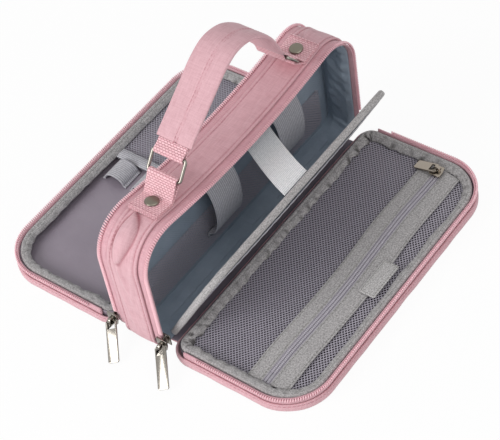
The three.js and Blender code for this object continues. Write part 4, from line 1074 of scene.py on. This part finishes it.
def clipped(contour, axis, low, high):
    """The part of a convex contour between two values of one coordinate."""
    points = [tuple(p) for p in contour]
    for level, sign in ((low, 1), (high, -1)):
        kept = []
        for here, there in zip(points, points[1:] + points[:1]):
            a, b = sign * (here[axis] - level), sign * (there[axis] - level)
            if a >= 0:
                kept.append(here)
            if a * b < 0:
                t = a / (a - b)
                kept.append(tuple(h + (n - h) * t for h, n in zip(here, there)))
        points = kept
    return np.array(points)


def cover_net_at(side, low, high, sag):
    """A net panel over a cover's tray, hanging a little between its seams."""

    def surface(a, b):
        free = np.clip(np.sin(np.clip((b - low) / (high - low), 0, 1) * math.pi), 0, 1)
        ends = np.clip(1 - (a / (case_half - 4 * mm)) ** 6, 0, 1)
        wave = 0.55 * mm * ripple(a, b, 34 * mm, 101 + side) * free
        level = net_level - sag * free * ends + wave
        return laid_open(side, a, b, level), np.array([0.0, 0.0, 1.0])

    return surface


for name, low, high, sag in (
    ("inner", 0.0, zip_line - zip_gap / 2 - 0.5 * mm, 1.4 * mm),
    ("outer", zip_line + zip_gap / 2 + 0.5 * mm, case_height, 0.6 * mm),
):
    region = clipped(net_contour, 1, low, high)
    surface = cover_net_at(-1, region[:, 1].min(), region[:, 1].max(), sag)
    net = net_sheet(f"front_{name}_net", region, net_hem, surface)
    settle(net, "front_cover", "gray_net", f"front_pocket_{name}_net")

strip_level = 7.9 * mm
strip_end = case_half - 11.2 * mm


def zip_wander(a):
    """How far the zip, its strips and its stitches wander off their straight line."""
    away = np.clip((strip_end - np.abs(a)) / (40 * mm), 0, 1)
    return 1.1 * mm * away * np.sin(2 * math.pi * a / (150 * mm) + 0.7)


# The pocket's zip tape is smoother than the strips beside it, and its nylon coil has a slight gloss.
lavender_tape = woven("lavender_zip_tape", "#B9B5BC", "#96919B", 0.9 * mm, 2.5 * mm, 0.2 * mm, 0.6)
lavender_coil = finish_of("lavender_nylon_coil", 0.4, coat=0.2, colour="#B4AFB8")[0]
along_band = np.linspace(-strip_end, strip_end, 150)
strip_section = (
    (0.0, 0.3), (0.03, 0.75), (0.12, 0.7), (0.3, 0.85), (0.5, 0.9), (0.7, 0.85), (0.88, 0.7), (0.97, 0.75),
    (1.0, 0.3), (0.97, 0.0), (0.5, 0.0), (0.03, 0.0),
)
strip_seams = []
for name, low, high in (
    ("inner", zip_line - zip_gap / 2 - inner_width, zip_line - zip_gap / 2),
    ("outer", zip_line + zip_gap / 2, zip_line + zip_gap / 2 + outer_width),
):
    reach = []
    for b in (low, high):
        bend = max(0.0, top_radius - case_height + b)
        reach.append(strip_end - top_radius + math.sqrt(max(0.0, top_radius**2 - bend**2)))
    rings = []
    wave = 0.35 * mm * ripple(along_band, 0 * along_band, 24 * mm, 121)
    for share, rise in strip_section:
        a = along_band / strip_end * (reach[0] + (reach[1] - reach[0]) * share)
        wander = 0.45 * mm * ripple(a, 0 * a, 55 * mm, 111) * ((share < 0.5) == (name == "inner"))
        level = strip_level + rise * mm + wave * (rise > 0)
        rings.append(laid_open(-1, a, low + (high - low) * share + wander + zip_wander(a), level))
    strip = lofted(f"pocket_{name}_tape_strip", np.stack(rings, 1), heather)
    settle(strip, "front_cover", "gray_binding", f"pocket_{name}_strip")
    for inset in (1.5 * mm, high - low - 1.5 * mm):
        end = min(reach) - 1 * mm
        a = np.linspace(-end, end, 80)
        rise = 0.95 * mm + 0.35 * mm * ripple(a, 0 * a, 24 * mm, 121)
        strip_seams.append((laid_open(-1, a, low + inset + zip_wander(a), strip_level + rise), (0, 0, 1)))
settle(sewn("pocket_strip_stitches", strip_seams, gray_thread), "front_cover", "gray_binding")

slider_stop = 9.9 * mm
coil_half = case_half - 10.8 * mm - slider_stop
coil_level = strip_level + 0.55 * mm
half_zip = np.array([
    (0.15, -0.6), (0.15, 0.3), (0.5, 0.75), (1.1, 0.85), (1.7, 0.65), (2.1, 0.1), (2.6, 0.2), (3.6, -0.1),
    (3.6, -0.6),
])
small_loop = capsule("small_coil_loop", 0.85 * mm, 2.2 * mm, 0.9 * mm, 0.2)
for name, side in (("inner", -1), ("outer", 1)):
    a = np.linspace(-strip_end, strip_end, 120)
    zip_middle = zip_line + zip_wander(a)
    rings = [
        laid_open(-1, a, zip_middle + side * near * mm, coil_level + rise * mm) for near, rise in half_zip
    ]
    half_tape = lofted(f"pocket_{name}_zip_tape", np.stack(rings, 1), lavender_tape)
    # The zip tape is darkened with painted shade where it lies lower than beside it.
    store_crease_shade(half_tape, half_zip[:, 1] * mm + np.zeros((len(a), 1)), 1, 0.25 * mm)
    a = np.linspace(-coil_half, coil_half, 110)
    coil_line = laid_open(-1, a, zip_line + zip_wander(a) + side * 1.0 * mm, coil_level + 0.55 * mm)
    loops = row_of(f"pocket_{name}_coil", [(coil_line, (0, 0, 1))], small_loop, 1.3 * mm, lavender_coil)
    for piece in (half_tape, loops):
        settle(piece, "front_cover", "mauve_teeth", f"pocket_{name}_teeth")

# Loop tape is a dense pile of tiny loops: matt, mottled and rough.
loop_pile = woven(
    "gray_loop_tape", "#CFCDCC", "#9C9999", 1.1 * mm, 1.1 * mm, 0.4 * mm,
    roughness=0.95, sheen=0.4, streak=2 * mm, fleck=0.9 * mm,
)
low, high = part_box("loop_patch")
patch_wall = 0.8 * mm
pad_section = ((0.0, 1.0), (0.92, 1.05), (0.985, 0.8), (1.0, 0.2), (0.98, 0.0), (0.0, 0.0))
pad_section = [(share, low.z + 0.35 * mm + rise * patch_wall) for share, rise in pad_section]
loop_patch = pad_on("loop_tape_patch", low, high, 2, pad_section, 1.5 * mm, loop_pile)
settle(loop_patch, "front_cover", "pale_webbing", "loop_patch")
border = round_plate((high.x - low.x) / 2 - 1.3 * mm, low.y + 1.3 * mm, high.y - 1.3 * mm, 0.6 * mm, 2)
border = np.vstack([border, border[:1]]) + ((low.x + high.x) / 2, 0)
border_line = np.column_stack([border, np.full(len(border), low.z + 1.2 * mm)])
patch_seam = sewn("loop_patch_stitches", [(border_line, (0, 0, 1))], gray_thread, 2.4 * mm)
settle(patch_seam, "front_cover", "pale_webbing")


# Back pocket and elastic loops
# A net pocket covers the far part of the back tray, its open edge bound in elastic. Beside it two ribbed
# elastic loops are sewn to the tray.
back_region = clipped(net_contour, 0, 2 * mm, case_half)
back_face = cover_net_at(1, 0.0, case_height, 1.0 * mm)
back_net = net_sheet("back_net", back_region, net_hem, back_face)
settle(back_net, "back_cover", "gray_net", "back_pocket_net")
low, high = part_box("back_pocket_trim")
b = np.linspace(low.y, high.y, 60)
wave = 0.3 * mm * ripple(b, 0 * b, 12 * mm, 131)
trim_section = ((0.0, 0.2), (0.05, 0.8), (0.5, 1.0), (0.95, 0.8), (1.0, 0.2), (0.95, -0.1), (0.05, -0.1))
rings = [
    np.stack([low.x + share * (high.x - low.x) + wave, b, strip_level + rise * mm + 0.5 * wave], -1)
    for share, rise in trim_section
]
trim = lofted("back_pocket_trim_band", np.stack(rings, 1), elastic_weave)
settle(trim, "back_cover", "gray_elastic", "back_pocket_trim")
for name in ("first_pen_loop", "second_pen_loop"):
    low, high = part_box(name)
    middle, centre, floor = (low.x + high.x) / 2, (low.y + high.y) / 2, low.z + 0.6 * mm
    span, rise = 8.2 * mm, high.z - low.z - 1.2 * mm
    arc = [
        (middle, centre + span * math.sin(a), floor + rise * max(0.0, math.cos(a)) ** 0.85)
        for a in np.linspace(-1.5, 1.5, 21)
    ]
    line = [(middle, low.y + 0.4 * mm, floor), *arc, (middle, high.y - 0.4 * mm, floor)]
    line = smooth_path(line, 0.8 * mm)
    loop = band_along(f"{name}_band", line, along_case, high.x - low.x, 0.9 * mm, elastic_weave)
    settle(loop, "back_cover", "gray_elastic", name)


# Hinge tapes
# A strip of pink canvas joins the underside of the band to each cover. Its inner side is faced with the thin
# mauve nylon of the trays.
for name, side in (("front", -1), ("back", 1)):
    low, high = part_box(f"{name}_hinge_tape")
    near_edge, far_edge = (high.y, low.y) if side < 0 else (low.y, high.y)
    line = np.array([
        (0, near_edge + (far_edge - near_edge) * share, low.z + 0.45 * mm + rise * mm)
        for share, rise in ((0, 0.0), (0.2, 0.05), (0.4, 0.15), (0.6, 0.2), (0.8, 0.1), (1.0, 0.0))
    ])
    width, facing_rise = high.x - low.x, (0, 0, 0.5 * mm)
    path, upper_path = smooth_path(line, 1 * mm), smooth_path(line + facing_rise, 1 * mm)
    tape = band_along(f"{name}_hinge_cloth", path, along_case, width, 0.8 * mm, canvas)
    facing = band_along(f"{name}_hinge_facing", upper_path, along_case, width - mm, 0.2 * mm, mauve_nylon)
    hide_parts(f"{name}_hinge_tape")
    for piece, material_slot in ((tape, "pink_fabric"), (facing, "mauve_lining")):
        tuple(line[1])
        tuple(line[-1])
        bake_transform(piece)


# Handle
# Pink webbing is folded round a steel ring at each end and riveted to the band; a second fold of webbing
# hangs in each ring and is sewn into a padded strap of canvas, stitched along its middle.
def webbing(name, pale, dark):
    """Basket-woven polypropylene webbing: rows of small raised blocks across its width. The dark gaps between
    the blocks are painted shade.
    """
    made = finish_of(name, 0.7, 0.25)
    tree = made[1]
    places = add(tree, "ShaderNodeUVMap", uv_map="UVMap").outputs["UV"]
    turned = {"Vector": places, "Rotation": (0, 0, math.pi / 2), "Scale": (1 / mm, 1 / mm, 1 / mm)}
    across = add(tree, "ShaderNodeMapping", turned)
    basket = {
        "Vector": across.outputs[0], "Color1": (1, 1, 1, 1), "Color2": (0.75, 0.75, 0.75, 1),
        "Mortar": (0, 0, 0, 1), "Scale": 1.0, "Mortar Size": 0.28, "Mortar Smooth": 0.9,
        "Brick Width": 2.4, "Row Height": 1.5,
    }
    blocks = add(tree, "ShaderNodeTexBrick", basket).outputs["Color"]
    return dressed(made, blocks, pale, dark, blocks, 1.0, 0.45 * mm)


def metal_of(name, colour, roughness, grain):
    """Plated metal with faint polishing marks."""
    material, tree, surface = finish_of(name, roughness, metallic=1.0, colour=colour)
    places = add(tree, "ShaderNodeTexCoord").outputs["Object"]
    marks = add(tree, "ShaderNodeTexNoise", {"Vector": places, "Scale": 1 / grain, "Detail": 4})
    relief = {"Height": marks.outputs["Fac"], "Strength": 0.15, "Distance": 0.1 * mm}
    tree.links.new(add(tree, "ShaderNodeBump", relief).outputs[0], surface.inputs["Normal"])
    return material


# The webbing is paler than the canvas, and the dark gaps between its blocks are painted shadow. The rings are
# polished and mirror the table; the rivets are brushed and duller.
pink_web = webbing("pink_basket_webbing", "#FFD2D8", "#D98C99")
nickel = metal_of("polished_nickel", "#8A857E", 0.16, 2 * mm)
dark_nickel = metal_of("brushed_dark_nickel", "#7A756A", 0.32, 0.8 * mm)

rivet_place = 76 * mm
webbing_wall, webbing_width = 1.2 * mm, 22 * mm
wire, eye = 1.1 * mm, 2.0 * mm
ring_half, ring_corner = 12.4 * mm, 1.8 * mm
ring_height, loop_tongue = 14 * mm, 5 * mm


def fold_line(tail, bend, bar, wall):
    """The middle line of webbing that runs from a tail to a bend, round a bar and back on itself."""
    tail, bend, bar = (np.array(p, float) for p in (tail, bend, bar))
    flat = (bend - tail) / np.linalg.norm(bend - tail)
    rise = (bar - bend) / np.linalg.norm(bar - bend)
    left = np.array([-rise[1], rise[0]])
    flat_left = np.array([-flat[1], flat[0]])
    half = wall / 2
    flat_half, corner_half = flat_left * half, (flat_left + left) / (1 + flat_left @ left) * half
    line = [tail + flat_half, (tail + bend) / 2 + flat_half, bend - flat * 2 * mm + flat_half]
    line.append(bend + corner_half + rise * 1.5 * mm)
    turn = math.atan2(rise[1], rise[0])
    for a in np.linspace(-0.5, 0.5, 7) * math.pi:
        line.append(bar + eye * np.array([math.cos(turn + a), math.sin(turn + a)]))
    line.append(bend + corner_half * 3 + rise * 1.5 * mm)
    line += [bend - flat * 2.5 * mm + flat_half * 3, (tail + bend) / 2 + flat_half * 3, tail + flat_half * 3]
    return np.array(line)


def bevelled_copy(node, name, finish, width):
    """A copy of a CAD node with rounded edges."""
    mesh = frame["nodes"][node].data.copy()
    mesh.name = name
    made = bpy.data.objects.new(name, mesh)
    bpy.context.scene.collection.objects.link(made)
    merged(made)
    shape = bmesh.new()
    shape.from_mesh(mesh)
    bmesh.ops.dissolve_limit(shape, angle_limit=0.03, verts=shape.verts, edges=shape.edges)
    sharp = [e for e in shape.edges if len(e.link_faces) == 2 and e.calc_face_angle(0) > 0.6]
    rounding = {"offset": width, "segments": 2, "profile": 0.6, "affect": "EDGES", "clamp_overlap": True}
    bmesh.ops.bevel(shape, geom=sharp, **rounding)
    bmesh.ops.triangulate(shape, faces=shape.faces)
    shape.to_mesh(mesh)
    shape.free()
    mesh.materials.clear()
    mesh.materials.append(finish)
    mesh.polygons.foreach_set("use_smooth", [True] * len(mesh.polygons))
    mesh.set_sharp_from_angle(angle=0.9)
    return made


# The rivet's profile is (out, up) in mm: a clinched tail below the band, a shank and a domed head.
head, tail, shank = 4.7, 3.6, 1.8
rivet_profile = [
    (0.0, -2.3), (tail - 0.1, -2.3), (tail, -2.1), (tail, -1.9), (shank, -1.9), (shank, 3.0),
    (head - 0.15, 3.0), (head, 3.15), (head, 3.5), (head - 0.3, 3.95), (head - 0.9, 4.25),
    (head * 0.6, 4.45), (head * 0.3, 4.55), (0.0, 4.6),
]
sideways = np.array([0.0, 1.0, 0.0])
strap_points = []
for name, side, reach, lift, ring_lean, loop_lean in (
    ("near", -1, 12.5, 14.0, 59, 50),
    ("far", 1, 13.0, 10.5, 58, 68),
):
    x = side * rivet_place
    slope = math.atan(2 * top_sag * x / case_half**2)
    origin = np.array([x, 0, case_height - top_sag * (1 - (x / case_half) ** 2)])
    inwards = -side * np.array([math.cos(slope), 0, math.sin(slope)])
    upwards = np.array([-math.sin(slope), 0, math.cos(slope)])

    def tab_place(flat, origin=origin, inwards=inwards, upwards=upwards):
        """Points of the standing body from (along the sloping top, up from it), seen from the rivet."""
        flat = np.asarray(flat, float)
        return origin + flat[..., :1] * inwards + flat[..., 1:] * upwards

    bar = np.array([reach, lift]) * mm
    line = fold_line((-10 * mm, 0.35 * mm), (6.8 * mm, 0.35 * mm), bar, webbing_wall)
    line = smooth_path(tab_place(line), 0.9 * mm)
    tab = band_along(f"{name}_tab_webbing", line, sideways, webbing_width, webbing_wall * 0.94, pink_web)
    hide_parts(f"{name}_handle_tab")
    fold_start, fold_end = tab_place(np.array([5.0, 1.5]) * mm), tab_place(bar)
    tuple(fold_start)
    tuple(fold_end)
    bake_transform(tab)
    leans = np.radians([ring_lean, loop_lean])
    ring_way, loop_way = np.stack([np.cos(leans), np.sin(leans)], -1)
    upper_bar = bar + ring_way * ring_height
    left = np.array([-loop_way[1], loop_way[0]])
    tongue = eye + 0.6 * mm + loop_tongue
    pinch, pinch_half, tongue_half = upper_bar + loop_way * (eye + 3 * mm), 0.7 * mm, 0.62 * mm
    loop_line = [upper_bar + loop_way * tongue - left * tongue_half, pinch - left * pinch_half]
    turn = math.atan2(loop_way[1], loop_way[0]) + math.pi
    for a in np.linspace(0.5, -0.5, 7) * math.pi * 0.96:
        loop_line.append(upper_bar + eye * np.array([math.cos(turn + a), math.sin(turn + a)]))
    loop_line += [pinch + left * pinch_half, upper_bar + loop_way * tongue + left * tongue_half]
    line = smooth_path(tab_place(loop_line), 0.9 * mm)
    loop = band_along(f"{name}_loop_webbing", line, sideways, webbing_width, webbing_wall * 0.94, pink_web)
    settle(loop, "handle", "pink_webbing", f"{name}_handle_loop")
    seat = upper_bar + loop_way * (tongue + 0.3 * mm)
    lead = upper_bar + loop_way * (tongue + 5.3 * mm)
    strap_points.append((tab_place(seat), tab_place(lead)))
    ring_up = inwards * ring_way[0] + upwards * ring_way[1]
    ring_face = np.cross(ring_up, sideways)
    wire_rings = []
    for quarter in range(4):
        corner_y = (1 if quarter < 2 else -1) * (ring_half - ring_corner)
        corner_up = ring_height - ring_corner if quarter in (1, 2) else ring_corner
        for turn in np.linspace(quarter - 1, quarter, 7) * math.pi / 2:
            way = sideways * math.cos(turn) + ring_up * math.sin(turn)
            middle = tab_place(bar) + sideways * corner_y + ring_up * corner_up + way * ring_corner
            round_wire = np.linspace(0, 2 * math.pi, 14, endpoint=False)[:, None]
            wire_rings.append(middle + wire * (way * np.cos(round_wire) + ring_face * np.sin(round_wire)))
    ring = lofted(f"{name}_steel_ring", np.stack(wire_rings), nickel, round_way=True)
    settle(ring, "handle", "nickel", f"{name}_ring")
    rings = []
    for out, rise in np.array(rivet_profile) * mm:
        turns = np.linspace(0, 2 * math.pi, 40, endpoint=False)[:, None]
        rings.append(origin + out * (np.cos(turns) * inwards + np.sin(turns) * sideways) + rise * upwards)
    rivet = closed_skin(f"{name}_steel_rivet", rings, dark_nickel)
    settle(rivet, "body", "nickel", f"{name}_rivet")
    seam_middle = tab_place(np.array([-8.2, 3.1]) * mm)
    seam_line = [seam_middle + sideways * across * mm for across in (-9.2, 0, 9.2)]
    tab_seam = sewn(f"{name}_tab_stitches", [(seam_line, upwards)], pink_thread)
    settle(tab_seam, "body", "pink_webbing")

(near_end, near_lead), (far_end, far_lead) = strap_points
strap_shares = ((0.27, 0.55), (0.43, 0.86), (0.57, 1.0), (0.73, 0.92), (0.88, 0.62))
strap_rise = np.array([0, 0, 36 * mm])
strap_route = [near_end + (far_end - near_end) * along + strap_rise * rise for along, rise in strap_shares]
strap_path = smooth_path([near_end, near_lead, *strap_route, far_lead, far_end], 1.0 * mm)
strap_half, strap_thick = 13.5 * mm, 3.2 * mm
seam_at = -0.1 * strap_half
thick_way = thick_way_of(strap_path, sideways)
run = run_along(strap_path)
ends = np.clip(np.minimum(run, run[-1] - run) / (6 * mm), 0, 1)
rings = []
for share in np.linspace(1, -1, 41)[1:-1]:
    y = share * strap_half
    edge = (1 - share**10) ** 0.5
    groove = 0.75 * mm * np.exp(-(((y - seam_at) / (0.8 * mm)) ** 2))
    hem = 0.3 * mm * np.exp(-(((abs(y) - strap_half + 2.2 * mm) / (0.7 * mm)) ** 2))
    swell = 0.25 * mm * ripple(run, y + 0 * run, 20 * mm, 141) * ends
    level = strap_thick / 2 * edge - groove - hem + swell * edge - 0.4 * mm * (1 - ends)
    rings.append(strap_path + sideways * y + thick_way * level[:, None])
for share in np.linspace(-1, 1, 15):
    level = strap_thick / 2 * (1 - abs(share) ** 10) ** 0.5 - 0.4 * mm * (1 - ends)
    rings.append(strap_path + sideways * share * strap_half - thick_way * level[:, None])
strap = lofted("handle_strap_canvas", np.stack(rings, 1), canvas)
settle(strap, "handle", "pink_fabric", "handle_strap")
strap_top_line = strap_path + thick_way * (strap_thick / 2 - 0.28 * mm)
strap_seams = [(strap_top_line + sideways * (seam_at + side * mm), thick_way) for side in (-1, 1)]
settle(sewn("handle_strap_stitches", strap_seams, pink_thread), "handle", "pink_fabric")


# Sliders and pulls
# Die-cast zinc sliders, nickel plated, with stamped pulls that hang in their bails. The small pair on the
# pocket has a darker, browner plating.
antique_nickel = metal_of("antique_nickel", "#9A9186", 0.22, 1.5 * mm)
for node in ("front_slider", "back_slider", "pocket_slider", "front_pull", "back_pull", "pocket_pull"):
    plate = antique_nickel if node.startswith("pocket") else nickel
    settle(bevelled_copy(node, f"{node}_plated", plate, 0.28 * mm), node, "nickel", node)


# Table, background and lamps
# A matt white table before a white background, under a large soft lamp from the left and a broader, weaker
# one from the front. None of it belongs to the object.
def lamp(name, azimuth, elevation, size, power):
    """A soft square lamp, aimed at the case."""
    light = bpy.data.lights.new(name, "AREA")
    light.size, light.energy = size, power
    made = bpy.data.objects.new(name, light)
    bpy.context.scene.collection.objects.link(made)
    way = direction(math.radians(azimuth), math.radians(elevation))
    made.location = way * lamp_distance
    made.rotation_euler = way.to_track_quat("Z", "Y").to_euler()


lamp_distance = 1.6
lamp("key_lamp", -108, 29, 0.8, 13.5)
lamp("fill_lamp", -12, 52, 1.4, 6.8)


def seen_share(tree):
    """1 for rays that the eye, a mirror or a window looks along, 0 for light that falls on the case."""
    path = add(tree, "ShaderNodeLightPath").outputs
    rays = {0: path["Is Camera Ray"], 1: path["Is Glossy Ray"]}
    seen = add(tree, "ShaderNodeMath", rays, operation="MAXIMUM").outputs[0]
    rays = {0: seen, 1: path["Is Transmission Ray"]}
    return add(tree, "ShaderNodeMath", rays, operation="MAXIMUM").outputs[0]


world = bpy.data.worlds.new("world")
world.use_nodes = True
bpy.context.scene.world = world
tree = world.node_tree
strength = add(tree, "ShaderNodeMapRange", {"Value": seen_share(tree), "To Min": 0.45, "To Max": 1.0})
tree.links.new(strength.outputs[0], tree.nodes["Background"].inputs["Strength"])
tree.nodes["Background"].inputs["Color"].default_value = (1, 1, 1, 1)

table_half = 3.0
table_material, tree, surface = finish_of("white_table", 0.9, colour="#F7F7F7")
glow_share = add(tree, "ShaderNodeMath", {0: seen_share(tree), 1: 0.94}, operation="MULTIPLY")
glow = add(tree, "ShaderNodeEmission", {"Color": (1, 1, 1, 1), "Strength": 1.0})
shaders = {0: glow_share.outputs[0], 1: surface.outputs[0], 2: glow.outputs[0]}
whitened = add(tree, "ShaderNodeMixShader", shaders)
tree.links.new(whitened.outputs[0], tree.nodes["Material Output"].inputs["Surface"])
table_corners = [(sx * table_half, sy * table_half, 0) for sx, sy in ((-1, -1), (1, -1), (1, 1), (-1, 1))]
new_piece("table", table_corners, [(0, 1, 2, 3)], table_material)

bpy.context.scene.view_settings.view_transform = "Standard"
